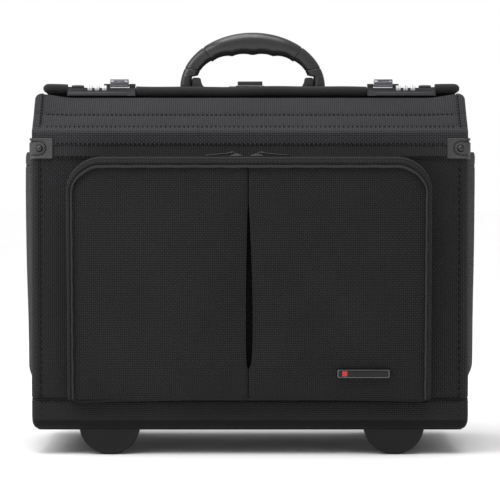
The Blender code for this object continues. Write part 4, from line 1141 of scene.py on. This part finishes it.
def zip_pull(side):
    """A long flat pull with an eye, a waist and a rounded tip."""
    name = side_name("zip_pull", side)
    low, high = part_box(name)
    tip, root = (low.x, high.x) if side < 0 else (high.x, low.x)
    eye = root + side * 0.0013
    size = abs(tip - eye)
    s = np.concatenate([np.linspace(-0.0013, 0.004, 10), np.linspace(0.005, size, 26)])
    half = 0.0019 + 0.0008 * smooth((s - 0.006) / 0.004)
    half = half * np.where(s < 0.0013, quarter(s + 0.0015, 0.0028), 1.0) * quarter(size - s + 0.0002, 0.0024)
    start_z, end_z = (low.z + high.z) / 2 + 0.0012, low.z + 0.0007
    z = start_z + (end_z - start_z) * np.clip(s / size, 0, 1)
    path = np.stack([eye + side * s, np.full_like(s, (low.y + high.y) / 2), z], -1)
    thick = 0.00075 + 0.00025 * bump(s, size, 0.003) + 0.0002 * bump(s, 0.0, 0.002)
    profile = np.array([ellipse(w, t, 14, 3.0) for w, t in zip(np.maximum(half, 0.0003), thick)])
    put(rod(name + "_metal", path, profile, Z, ZIP_STEEL), name, "bright_steel", name)


def badge():
    """A plain enamel plate in a thin bright frame, with a plain square let into it."""
    low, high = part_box("badge")
    middle = (low + high) / 2
    half_x, half_z = (high.x - low.x) / 2, (high.z - low.z) / 2
    lean = math.atan(POCKET_SLOPE)
    seat = high.y - 0.0046  # where the badge meets the cloth

    def place(u, v, h):
        return np.stack([middle.x + u, seat - h - v * math.sin(lean), middle.z + v * math.cos(lean)], -1)

    def layer(name, u_span, v_span, steps, edge, top, bottom, material, rounding, corner):
        us, vs = (ticks(*span, step, edge=edge) for span, step in zip((u_span, v_span), steps))
        return pad(name, us, vs, place, top, bottom, [material], rounding, corner)

    rim = layer("badge_frame", (-half_x, half_x), (-half_z, half_z), (0.003, 0.0015), 0.002,
                0.0015, -0.0040, BRIGHT, 0.0009, 0.0022)
    dome = lambda u, v: 0.0016 + 0.0007 * np.cos(u / half_x * 1.3) * np.cos(v / half_z * 1.3)
    in_x, in_z = half_x - 0.0012, half_z - 0.0011
    plate = layer("badge_plate", (-in_x, in_x), (-in_z, in_z), (0.003, 0.0012), 0.0015,
                  dome, 0.0004, BADGE_FACE, 0.0010, 0.0016)
    put(rim, "case", "bright_steel", "badge")
    put(plate, "case", "badge_gloss")
    centre, size = -half_x + 0.0085, half_z * 0.58
    inlay = layer("badge_inlay", (centre - size, centre + size), (-size, size), (0.0015, 0.0015), 0.0008,
                  0.0025, 0.0006, BADGE_INLAY, 0.0004, 0.0006)
    put(inlay, "case", "badge_gloss")


# ---- side pockets ----
SIDE_POCKET_FULL = {-1: 0.0132, 1: 0.0144}  # how far each one swells
SIDE_POCKET_HEM = 0.0150  # from its open top down to its thread


def side_pocket(side):
    """A slip pocket on an end: a sheet that swells outwards, hemmed and corded round its edges."""
    name = side_name("side_pocket", side)
    low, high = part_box(name)
    hem_z = high.z - SIDE_POCKET_HEM
    full = SIDE_POCKET_FULL[side]
    ys = ticks(low.y, high.y, 0.006, edge=0.010)
    y, z = np.meshgrid(ys, ticks(low.z, high.z - 0.001, 0.006, hem_z, edge=0.010))
    across, up = np.minimum(y - low.y, high.y - y), z - low.z
    belly = lambda y: np.sin(np.pi * np.clip((y - low.y) / (high.y - low.y), 0, 1)) ** 0.75
    swell = full * (0.80 + 0.20 * (up / (high.z - low.z)))
    hem = -0.0008 * bump(z, hem_z, 0.0016) - 0.0010 * smooth((z - high.z + 0.006) / 0.006)
    ripple = 0.0007 * np.sin(y * 47.0 + side) * np.sin(z * 19.0) * smooth(across / 0.03)
    x = side * (SIDE + 0.0006 + belly(y) * quarter(up + 0.0002, 0.014) * (swell + hem + ripple))
    in_y, in_z = corner_square(across, up, 0.012)
    y = y + np.sign((low.y + high.y) / 2 - y) * in_y
    sheet = surface(name + "_cloth", np.stack([x, y, z + in_z], -1), [BODY_CLOTH])
    if side > 0:
        sheet.data.flip_normals()
    held = smooth((across - 0.002) / 0.012) * smooth((up - 0.002) / 0.012)
    simulate(sheet, held.ravel(), 1.0, 0.0012, frames=10)
    thicken(sheet, 0.0014)
    put(sheet, "case", "body_fabric", name, fill=0.2)
    ys = np.linspace(low.y + 0.0005, high.y - 0.0005, 40)
    full -= 0.0008
    path = np.stack([side * (SIDE + 0.0002 + belly(ys) * full), ys, 0 * ys + high.z - 0.0012], -1)
    put(cord(name + "_hem", path, 0.0014, TRIM), "case", "body_fabric")
    rim = mm((low.y, low.z), (-0.6, 10), (3, 3), (10, -0.6))
    rim = [(rim[0][0], high.z), *rim]
    rim += [(high.y + low.y - a, b) for a, b in rim[::-1]]
    path = resample([(side * (SIDE + 0.0009), a, b) for a, b in rim], 0.005)
    put(cord(name + "_piping", path, 0.0013, PIPING, up=(side, 0, 0)), "case", "body_fabric")
    row = np.stack([side * (SIDE + 0.0009 + belly(ys) * (full + 0.0001)), ys, 0 * ys + hem_z], -1)
    stitches(name + "_stitching", [(row, (side, 0, 0))], "case")


# ---- corner guards ----
GUARD_THICK = 0.0020
STRAP_RAISED, STRAP_GROOVE = 0.0068, 0.0074  # half widths of the strap-end outline


def corner_guard(side):
    """A plate round a front corner, with a raised edge and a strap-end outline round its rivet."""
    gap = 0.0003
    near, radius = FRONT - gap, CORNER + gap
    plate_low, plate_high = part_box("corner_guard_right")
    rivet_low, rivet_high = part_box("corner_rivet_right")
    rivet_x = (rivet_low.x + rivet_high.x) / 2
    middle_z = (GUARD_LOW.z + GUARD_HIGH.z) / 2
    flat = SIDE + gap - radius - plate_low.x
    arc = radius * math.pi / 2
    total = flat + arc + plate_high.y - near - radius
    rivet_s = rivet_x - plate_low.x

    def bend(s, z, h):
        """A point at s along the plate from its inner end, h out from the walls."""
        turn = np.clip((s - flat) / arc, 0, 1) * math.pi / 2
        x = plate_low.x + np.minimum(s, flat) + (radius + h) * np.sin(turn)
        y = near + radius - (radius + h) * np.cos(turn) + np.maximum(s - flat - arc, 0)
        return np.stack([side * x, y, z + 0 * s], -1)

    def height(s, z):
        edge = np.minimum(np.minimum(s, total - s), np.minimum(z - GUARD_LOW.z, GUARD_HIGH.z - z))
        strap = np.hypot(np.minimum(s - rivet_s, 0.0), z - middle_z)
        marked = s < total - 0.003
        raised = 0.0005 * smooth((STRAP_RAISED - strap) / 0.0006) - 0.0014 * bump(strap, STRAP_GROOVE, 0.0007)
        return GUARD_THICK + 0.0004 * bump(edge, 0.0009, 0.0007) + raised * marked

    ss = ticks(0.0, total, 0.0011, edge=0.0016)
    zs = ticks(GUARD_LOW.z, GUARD_HIGH.z, 0.0009, edge=0.0016)
    plate = pad(side_name("guard_plate", side), ss, zs, bend, height, -0.0002, [GUARD], 0.0009, 0.0016)
    put(plate, "case", "guard_plastic", side_name("corner_guard", side))
    profile = mm((0, near - 0.0026), (0, -1.7), (1.2, -1.6), (2.4, -1.2), (3.2, -0.5), (3.5, 0.1),
                 (4.1, 0.1), (4.4, 0.5), (4.4, 1.2), (0, 1.2))
    head = turned(side_name("guard_rivet", side), profile, (side * rivet_x, 0, middle_z), "Y", LOCK_STEEL, 32)
    put(head, "case", "dark_steel", side_name("corner_rivet", side))


# ---- carry handle ----
GRIP_LOW, GRIP_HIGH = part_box("handle_grip")
HANDLE_X = (GRIP_LOW.x + GRIP_HIGH.x) / 2
HANDLE_HALF = 0.0826
HANDLE_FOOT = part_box("handle_arm_left")[0].z
HANDLE_RISE = GRIP_HIGH.z - HANDLE_FOOT
ARCH_HALF, ARCH_RISE, ARCH_POWER = 0.064, 0.0385, 2.6  # the opening under the grip
LEG_INNER, LEG_STEP = 0.0695, 0.0126
LEG_ANGLE = math.asin(LEG_STEP / HANDLE_RISE)
SCALLOP_PITCH = 0.0232  # of the finger grips
JOINT_ANGLE = math.acos(0.0563 / HANDLE_HALF)  # where grip and arm meet
JOINT_GAP = 0.004  # an angle, from there to either part
ELBOW_ANGLE = math.asin(0.0222 / HANDLE_RISE)  # of the groove in each arm
ARM_DEPTH, GRIP_DEPTH = 0.0068, 0.0116  # half of each, from front to back


def handle_ring(angle):
    """The handle's outer and inner points at an angle round its arch, both in the arch's plane."""
    outer = np.array((HANDLE_HALF * math.cos(angle), HANDLE_RISE * math.sin(angle)))
    folded = min(angle, math.pi - angle)
    sign = 1 if angle < math.pi / 2 else -1
    if folded < LEG_ANGLE:
        return outer, np.array((sign * LEG_INNER, outer[1]))
    begin = math.asin((0.0137 / ARCH_RISE) ** (ARCH_POWER / 2))
    b = begin + (folded - LEG_ANGLE) / (math.pi / 2 - LEG_ANGLE) * (math.pi / 2 - begin)
    x = sign * ARCH_HALF * math.cos(b) ** (2 / ARCH_POWER)
    z = ARCH_RISE * math.sin(b) ** (2 / ARCH_POWER)
    ridge = 0.0018 * (1 - abs(math.sin(math.pi * x / SCALLOP_PITCH))) ** 1.3
    return outer, np.array((x, z - ridge * (abs(x) < SCALLOP_PITCH * 2)))


def handle_section(angle, shrink=0.0):
    outer, inner = handle_ring(angle)
    middle, reach = (outer + inner) / 2, (outer - inner) / 2 * (1 - shrink)
    wide = float(smooth((0.062 - abs(middle[0])) / 0.030))
    depth = (ARM_DEPTH + (GRIP_DEPTH - ARM_DEPTH) * wide) * (1 - shrink)
    x, z = HANDLE_X + middle[0], HANDLE_FOOT + middle[1]
    return [(x + reach[0] * a, b * depth, z + reach[1] * a) for a, b in ellipse(1.0, 1.0, 28, 2.35)]


def handle_part(name, start, end, count, groove=None):
    """The handle between two angles, its ends eased in, with a fine groove at an angle."""
    extra = [side + d for side in (LEG_ANGLE, math.pi - LEG_ANGLE) for d in (-0.006, 0.006)]
    if groove:
        extra += [groove + d for d in (-0.016, -0.008, 0.0, 0.008, 0.016)]
    angles = sorted([*np.linspace(start, end, count), *[a for a in extra if start < a < end]])
    rings = [handle_section(start, 0.08), handle_section(start + 0.004, 0.03)]
    for angle in angles[1:-1]:
        if start + 0.008 < angle < end - 0.008:
            rings.append(handle_section(angle, 0.075 * float(bump(angle, groove, 0.009)) if groove else 0.0))
    rings += [handle_section(end - 0.004, 0.03), handle_section(end, 0.08)]
    return outward(surface(name, rings, [GRIP_PLASTIC], ring=True, caps=True))


def carry_handle():
    low, high = JOINT_ANGLE + JOINT_GAP, math.pi - JOINT_ANGLE - JOINT_GAP
    put(handle_part("handle_grip_moulding", low, high, 74), "handle", "handle_plastic", "handle_grip")
    for side in (-1, 1):
        turn = lambda angle: angle if side > 0 else math.pi - angle
        start, end = sorted((turn(0.002), turn(JOINT_ANGLE - JOINT_GAP)))
        arm = handle_part("arm", start, end, 30, turn(ELBOW_ANGLE))
        sections = [handle_section(turn(JOINT_ANGLE) + d, 0.09) for d in (-0.02, 0.0, 0.02)]
        plug = outward(surface("plug", sections, [GRIP_PLASTIC], ring=True, caps=True))
        arm = merge(side_name("handle_arm_moulding", side), [arm, plug])
        put(arm, "handle", "handle_plastic", side_name("handle_arm", side))
        centre = (HANDLE_X + side * 0.0693, 0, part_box(side_name("handle_pin", side))[0].z + 0.0025)
        rim = mm((0, 0), (3.0, -0.17), (5.6, -0.17), (5.6, 0.17), (3.0, 0.17))
        washer = turned(side_name("handle_washer", side), rim, centre, "X", LOCK_STEEL, 32, closed=True)
        put(washer, "handle", "dark_steel")
        handle_mount(side)


def handle_mount(side):
    """The bracket the handle turns on: a flared post on a plate with two screws."""
    name = side_name("handle_bracket", side)
    low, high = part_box(name)
    inner, outer = (high.x, low.x) if side < 0 else (low.x, high.x)
    foot, top = low.z, high.z
    outline = mm((inner, foot), (0, 0), (0, 1.6), (2.2, 2.6), (4.2, 5.0), (5.6, 8.5), flip=side)
    outline += mm((inner, top), (5.9, -2.2), (6.8, -0.5), (8.5, 0), flip=side)
    outline += mm((outer, top), (-2.0, 0), (-0.5, -0.7), (0, -2.2), flip=side) + [(outer, foot)]
    parts = [prism("post", outline, "Y", low.y, high.y, GRIP_PLASTIC, 0.0007)]
    ends = (inner - side * 0.0125, -0.0105, foot - 0.0006), (outer + side * 0.0150, 0.0105, foot + 0.0009)
    parts.append(block("plate", *ends, GRIP_PLASTIC, 0.0007))
    for x in (inner - side * 0.0078, outer + side * 0.0105):
        parts.append(screw_head((x, 0.0, foot + 0.0009), 0.0026, 0.0008))
    put(merge(name + "_moulding", parts), "lid", "handle_plastic", name)


def screw_head(at, radius, height):
    """A low domed screw head, facing up, with a cross recess."""
    dome = [(radius * r, height * h) for r, h in ((0, 1), (0.55, 0.92), (0.9, 0.55), (1, 0))]
    profile = dome + [(0.0, -0.0004)]
    head = turned("screw", profile, at, "Z", LOCK_STEEL, 20)
    for along in (0, 1):
        size = np.array((radius * 0.16, radius * 0.16, height * 0.6))
        size[along] = radius * 0.62
        middle = np.array(at, float) + Z * height * 1.05
        carve(head, block("slot", middle - size, middle + size, LOCK_STEEL, 0.00002, 1))
    return head


# ---- combination locks ----
DIAL_STEPS = 80  # points round a wheel
DIGITS = 10
NUMBER_SIZE, NUMBER_RISE = 0.0026, 0.00002
RIDGES = 5  # on the hasp and on the latch
LOCK_STEP = (0.0021, 0.0057)  # the lock's front step: its middle's depth, and its height
FACE_INNER, FACE_OUTER = 0.1395, 0.2050  # ends of a lock's front plate, from the lid's middle


def lock(side):
    finish_node(side_name("lock_base", side), LOCK_STEEL, 0.00045)
    for k, letter in enumerate("abc"):
        dial(side, letter, k)
    hasp(side)
    latch(side)
    lock_trims(side)


def dial(side, letter, k):
    """A number wheel: its rim notched ten times, and its numbers printed between the notches."""
    body, cad = (f"{side_name(kind, side)}_{letter}" for kind in ("dial", "lock_dial"))
    low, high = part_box(cad)
    middle, half, radius = (low + high) / 2, (high.x - low.x) / 2, (high.z - low.z) / 2
    angles = np.arange(DIAL_STEPS) * 2 * math.pi / DIAL_STEPS
    groove = np.maximum(0.0, np.cos(angles * DIGITS)) ** 6
    rows = []
    rings = (
        (-1.0, 0.0026, 0), (-1.0, 0.0006, 0), (-0.86, 0.0001, 0.4), (-0.5, 0.0, 0.2),
        (0.5, 0.0, 0.2), (0.86, 0.0001, 1.0), (1.0, 0.0006, 1.0), (1.0, 0.0026, 0),
    )
    for share, drop, notch in rings:
        r = radius - drop - 0.0005 * notch * groove
        x = middle.x + half * share + 0 * r
        rows.append(np.stack([x, middle.y + r * np.cos(angles), middle.z + r * np.sin(angles)], -1))
    wheel = outward(surface(body + "_wheel", rows, [ENAMEL], loop=True, ring=True))
    put(wheel, body, "dial_white", cad)
    turns = [math.pi / 2 + math.pi / DIGITS * (1 + 2 * (digit + 3 * k)) for digit in range(DIGITS)]
    numbers = [number(str(digit), middle, radius, turn) for digit, turn in enumerate(turns)]
    put(merge(body + "_numbers", numbers), body, "dark_steel")


def number(text, middle, radius, turn):
    """A raised number on a wheel's rim, read from the front with the wheel's axis across."""
    curve = bpy.data.curves.new("number", "FONT")
    curve.body, curve.size, curve.extrude, curve.resolution_u = text, NUMBER_SIZE, 0.00004, 3
    curve.align_x, curve.align_y = "CENTER", "CENTER"
    source = link("number", curve)
    bpy.context.view_layer.update()
    mesh = bpy.data.meshes.new_from_object(evaluated(source))
    bpy.data.objects.remove(source, do_unlink=True)
    for v in mesh.vertices:
        x, y, h = v.co
        angle, r = turn + y / radius, radius + h + NUMBER_RISE
        v.co = (middle.x + x, middle.y + r * math.cos(angle), middle.z + r * math.sin(angle))
    mesh.materials.clear()
    mesh.materials.append(INK)
    return link("number", mesh)


def hasp(side):
    """The spring lever: a folded plate with a curled lip, a window and five ribs."""
    cad = side_name("lock_hasp", side)
    low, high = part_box(cad)
    front, back, top = low.y, high.y - 0.0022, high.z
    outline = [(front, low.z + 0.0004)] + mm((front, top), (0, -4.0), (0.8, -2.4), (3.0, -0.6), (4.8, 0))
    outline += mm((back, top), (-4.8, 0), (-2.5, -1.2), (0.8, -3.8), (2.0, -5.6), (2.2, -6.8), (1.2, -8.6))
    outline += [(back - 0.0100, low.z), (front + 0.0012, low.z)]
    lever = prism("lever", outline, "X", low.x + 0.0002, high.x - 0.0002, BRIGHT, 0.0005)
    ends = (low.x + 0.0045, front - 0.001, top - 0.0030), (high.x - 0.0045, front + 0.0020, top + 0.001)
    cutters = [block("window", *ends, BRIGHT, 0.0003, 1)]
    for k in range(RIDGES):
        x = low.x + 0.003 + 0.0032 * k
        ends = (x, front + 0.0052, top - 0.0004), (x + 0.0014, back - 0.0050, top + 0.001)
        cutters.append(block("rib", *ends, BRIGHT, 0.0001, 1))
    carve(lever, *cutters)
    lever.name = cad + "_plate"
    shade(lever.data, PART_ANGLE)
    put(lever, side_name("hasp", side), "bright_steel", cad)


def latch(side):
    """The sliding release: a low block with finger ridges."""
    name = side_name("lock_latch", side)
    low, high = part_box(name)
    body_low = max(low.z, high.z - 0.0030)
    parts = [block("slide", (low.x, low.y, body_low), (high.x, high.y, high.z - 0.0005), LOCK_STEEL, 0.0006)]
    for k in range(RIDGES):
        x = low.x + 0.0030 + 0.0017 * k
        ends = (x, low.y + 0.0012, high.z - 0.0010), (x + 0.0008, high.y - 0.0012, high.z)
        parts.append(block("ridge", *ends, LOCK_STEEL, 0.00025, 2))
    ends = (low.x + 0.0026, low.y + 0.0038, low.z), (high.x - 0.0026, low.y + 0.0062, body_low + 0.0008)
    parts.append(block("tongue", *ends, LOCK_STEEL, 0.0002, 1))
    put(merge(name + "_slide", parts), side_name("latch", side), "dark_steel", name)


def lock_trims(side):
    """Screws through the lock's front step, and a plate along its front."""
    low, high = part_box(side_name("lock_base", side))
    at = (low.y + LOCK_STEP[0], low.z + LOCK_STEP[1])
    screws = [screw_head((x, *at), 0.0013, 0.0005) for x in (low.x + 0.0032, high.x - 0.0032)]
    put(merge(side_name("lock_screws", side), screws), "lid", "dark_steel")
    near, far = sorted((LID_MIDDLE + side * FACE_INNER, LID_MIDDLE + side * FACE_OUTER))
    ends = (near, low.y - 0.0007, low.z + 0.0003), (far, low.y + 0.001, low.z + 0.0036)
    put(block(side_name("lock_face", side), *ends, FACE_STEEL, 0.0006), "lid", "dark_steel")


# ---- carried-over CAD parts ----
BEVEL_ANGLE = 35  # edges sharper than this are rounded


def finish_node(name, material, edge=0.0):
    """Gives a CAD node its finish, and rounds its edges a little."""
    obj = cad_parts[name]
    obj.data.materials.clear()
    obj.data.materials.append(material)
    if edge:
        modifier = obj.modifiers.new("edges", "BEVEL")
        modifier.width, modifier.segments = edge, 2
        modifier.limit_method, modifier.angle_limit = "ANGLE", math.radians(BEVEL_ANGLE)
        modifier.use_clamp_overlap, modifier.harden_normals = True, False
    shade(obj.data, NODE_ANGLE)
    return obj


def carried_parts():
    finish_node("trolley_deck", MOULDED, 0.0004)
    finish_node("trolley_foot", MOULDED)
    finish_node("tube_cover", LINING_BOARD, 0.0006)
    finish_node("trolley_grip", GRIP_PLASTIC, 0.0008)
    pairs = {
        "trolley_outer_tube": (ALUMINIUM, 0.0003), "trolley_middle_tube": (ALUMINIUM, 0.0003),
        "trolley_inner_tube": (ALUMINIUM, 0.0003), "handle_pin": (LOCK_STEEL, 0.0003),
        "lock_strike": (LOCK_STEEL, 0.0002), "wheel_axle": (LOCK_STEEL, 0.0003),
        "wheel_housing": (MOULDED, 0.0006),
    }
    for side in (-1, 1):
        for name, (material, edge) in pairs.items():
            finish_node(side_name(name, side), material, edge)


def trolley_trims():
    """The press button with its bright collar, and the collars round the tubes."""
    low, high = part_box("trolley_button")
    button = block("trolley_button_cap", low, high, BUTTON, 0.0012, 4)
    put(button, "button", "button_plastic", "trolley_button")
    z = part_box("trolley_grip")[1].z + 0.0001
    xs, ys = (low.x - 0.0016, high.x + 0.0016), (low.y - 0.0013, high.y + 0.0013)
    plan = [(xs[0], ys[0], z), (xs[1], ys[0], z), (xs[1], ys[1], z), (xs[0], ys[1], z), (xs[0], ys[0], z)]
    path = resample(plan, 0.0015)[:-1]
    collar = cord("trolley_button_collar", path, 0.0006, BRIGHT, ring=True, sides=8)
    put(collar, "trolley_inner", "bright_steel")
    deck_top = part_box("trolley_outer_tube_left")[1].z
    for side in (-1, 1):
        low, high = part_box(side_name("trolley_outer_tube", side))
        radius = (high.x - low.x) / 2
        profile = mm((radius, deck_top), (0.6, -0.1), (0.6, 1.4), (1.0, 1.8), (2.4, 1.6), (2.8, 0.8), (2.8, -0.1))
        centre = ((low.x + high.x) / 2, (low.y + high.y) / 2, 0)
        ring = turned(side_name("tube_collar", side), profile, centre, "Z", MOULDED, 40, closed=True)
        put(ring, "case", "moulded_plastic")


# ---- feet and wheels ----
FOOT_CENTRE = 0.0335  # height of a foot's centre above its flat lower edge
SPOKES = 6


def foot(side):
    """A half-disc foot: a dished face inside a raised rim."""
    name = side_name("foot", side)
    low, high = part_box(name)
    radius = (high.x - low.x) / 2
    profile = mm((0, low.y), (0, 0.8)) + [(radius * 0.5, low.y + 0.0007)]
    profile += mm((radius, low.y), (-3.4, 0.6), (-2.8, 0.4), (-2.4, 0.1), (-1.4, 0), (-0.6, 0.3), (0, 1.1))
    profile += mm((radius, high.y), (0, -1.1), (-0.8, 0)) + [(0.0, high.y)]
    centre = ((low.x + high.x) / 2, 0, low.z + FOOT_CENTRE)
    disc = turned(name + "_disc", profile, centre, "Y", FOOT_PLASTIC, 96)
    with editing(disc) as bm:
        for level, up in ((high.z, 1), (low.z + 0.0001, -1)):
            parts = bm.verts[:] + bm.edges[:] + bm.faces[:]
            plane = {"plane_co": (0, 0, level), "plane_no": (0, 0, up), "clear_outer": True}
            cut = bmesh.ops.bisect_plane(bm, geom=parts, **plane)
            rim = [e for e in cut["geom_cut"] if isinstance(e, bmesh.types.BMEdge)]
            bmesh.ops.holes_fill(bm, edges=rim, sides=0)
    shade(disc.data, PART_ANGLE)
    put(disc, "case", "moulded_plastic", name)


def wheel(side):
    """A rubber tyre with a grooved tread on a six-spoked hub."""
    body = side_name("wheel", side)
    low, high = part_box(body)
    middle, radius, half = (low + high) / 2, (high.z - low.z) / 2, (high.x - low.x) / 2
    rim = radius - 0.0085
    tread = [(rim, -half + 0.002)] + mm((radius, -half), (-4.5, 0), (-1.8, 1.2), (-0.3, 4.0))
    tread += mm((radius, 0), (0, -4.2), (0, -3.6), (-1.0, -3.2), (-1.0, -2.2), (0, -1.8))
    tread += [(r, -h) for r, h in tread[::-1]]
    tyre = turned(body + "_tyre", tread, middle, "X", RUBBER, 72, closed=True)
    put(tyre, body, "wheel_tyre", body)
    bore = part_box(side_name("wheel_axle", side))[1].z - middle.z + 0.0004
    outer = mm((rim, half), (0.4, -3.5), (-2.2, -3.0), (-3.0, -4.5))
    ring = [(outer[0][0], -outer[0][1])] + outer + [(r, -h) for r, h in outer[:0:-1]]
    boss = mm((bore, -half), (0, 0.2), (3.5, 0.2), (4.2, 1.0))
    boss += [(r, -h) for r, h in boss[::-1]]
    web = [(bore + 0.0035, -0.0014), (rim - 0.0024, -0.0014), (rim - 0.0024, 0.0014), (bore + 0.0035, 0.0014)]
    rounds = ((ring, 72), (boss, 40), (web, 60))
    parts = [turned("round", profile, middle, "X", HUB, steps, closed=True) for profile, steps in rounds]
    for k in range(SPOKES):
        ends = (-half + 0.0042, -0.0016, bore + 0.0030), (half - 0.0042, 0.0016, rim - 0.0022)
        spoke = block("spoke", *ends, HUB, 0.0006, 2)
        spoke.data.transform(Matrix.Translation(middle) @ Matrix.Rotation(2 * math.pi * k / SPOKES, 4, "X"))
        parts.append(spoke)
    put(merge(body + "_hub", parts), body, "moulded_plastic")


# ---- room, light and camera ----
ROOM_LIGHT = 0.62  # of the white room, as it lights the case
FLOOR_COLOR = (0.90, 0.90, 0.90)
CAMERA_RANGE = 2.8  # from the eye to the front of the case
VIEW_WIDTH = 0.55  # seen across, at the case's front
EYE_HEIGHT, AIM_HEIGHT = 0.330, 0.226
SENSOR = 36


def aim(obj, direction):
    obj.rotation_euler = Vector(direction).to_track_quat("-Z", "Y").to_euler()


def lamp(name, at, target, width, height, power):
    light = bpy.data.lights.new(name, "AREA")
    light.shape, light.size, light.size_y, light.energy = "RECTANGLE", width, height, power
    obj = link(name, light)
    obj.location = at
    aim(obj, Vector(target) - Vector(at))


def studio():
    floor_material, tree, shader = start("pale_floor", FLOOR_COLOR, 0.75, Specular_IOR_Level=0.2)
    grain = noise(tree, node(tree, "TexCoord").outputs["Object"], 3.0)
    tint(tree, shader, FLOOR_COLOR, spread(tree, grain, 0.2, 0.8, 0.985, 1.0))
    xs = np.linspace(-12, 12, 9)
    grid = np.stack(np.meshgrid(xs, xs, [-0.0002], indexing="ij"), -1)[:, ::-1, 0]
    surface("studio_floor", grid, [floor_material])
    world = bpy.data.worlds.new("studio")
    bpy.context.scene.world = world
    world.use_nodes = True
    tree = world.node_tree
    background = tree.nodes["Background"]
    seen = node(tree, "LightPath").outputs["Is Camera Ray"]
    tree.links.new(spread(tree, seen, 0.0, 1.0, ROOM_LIGHT, 1.0), background.inputs["Strength"])
    background.inputs["Color"].default_value = (1.0, 1.0, 1.0, 1.0)
    lamp("overhead", (-0.35, -0.05, 2.0), (0.0, 0.0, 0.3), 1.7, 0.9, 12.0)
    lamp("left_fill", (-0.95, -0.6, 0.9), (-0.1, -0.1, 0.2), 0.7, 0.7, 7.0)
    sun = bpy.data.lights.new("sky", "SUN")
    sun.energy, sun.angle = 1.7, math.radians(50)
    aim(link("sky", sun), (0.03, 0.28, -0.96))


def camera():
    data = bpy.data.cameras.new("camera")
    eye = Vector((0, FRONT - CAMERA_RANGE, EYE_HEIGHT))
    sight = Vector((0, FRONT, AIM_HEIGHT)) - eye
    data.sensor_width, data.lens, data.clip_end = SENSOR, SENSOR * sight.length / VIEW_WIDTH, 60
    obj = link("camera", data)
    obj.location = eye
    aim(obj, sight)
    bpy.context.scene.camera = obj
    bpy.context.scene.view_settings.view_transform = "Standard"


def build():
    case_shell()
    case_boards()
    case_stitching()
    front_flap()
    rear_lid()
    pocket_gusset()
    pocket_piping()
    pocket_face()
    pocket_foot()
    zip_chain()
    for side in (-1, 1):
        zip_slider(side)
        zip_pull(side)
    badge()
    for piece in (side_pocket, corner_guard):
        for side in (-1, 1):
            piece(side)
    carry_handle()
    for side in (-1, 1):
        lock(side)
    carried_parts()
    trolley_trims()
    for piece in (foot, wheel):
        for side in (-1, 1):
            piece(side)
    studio()
    camera()


build()
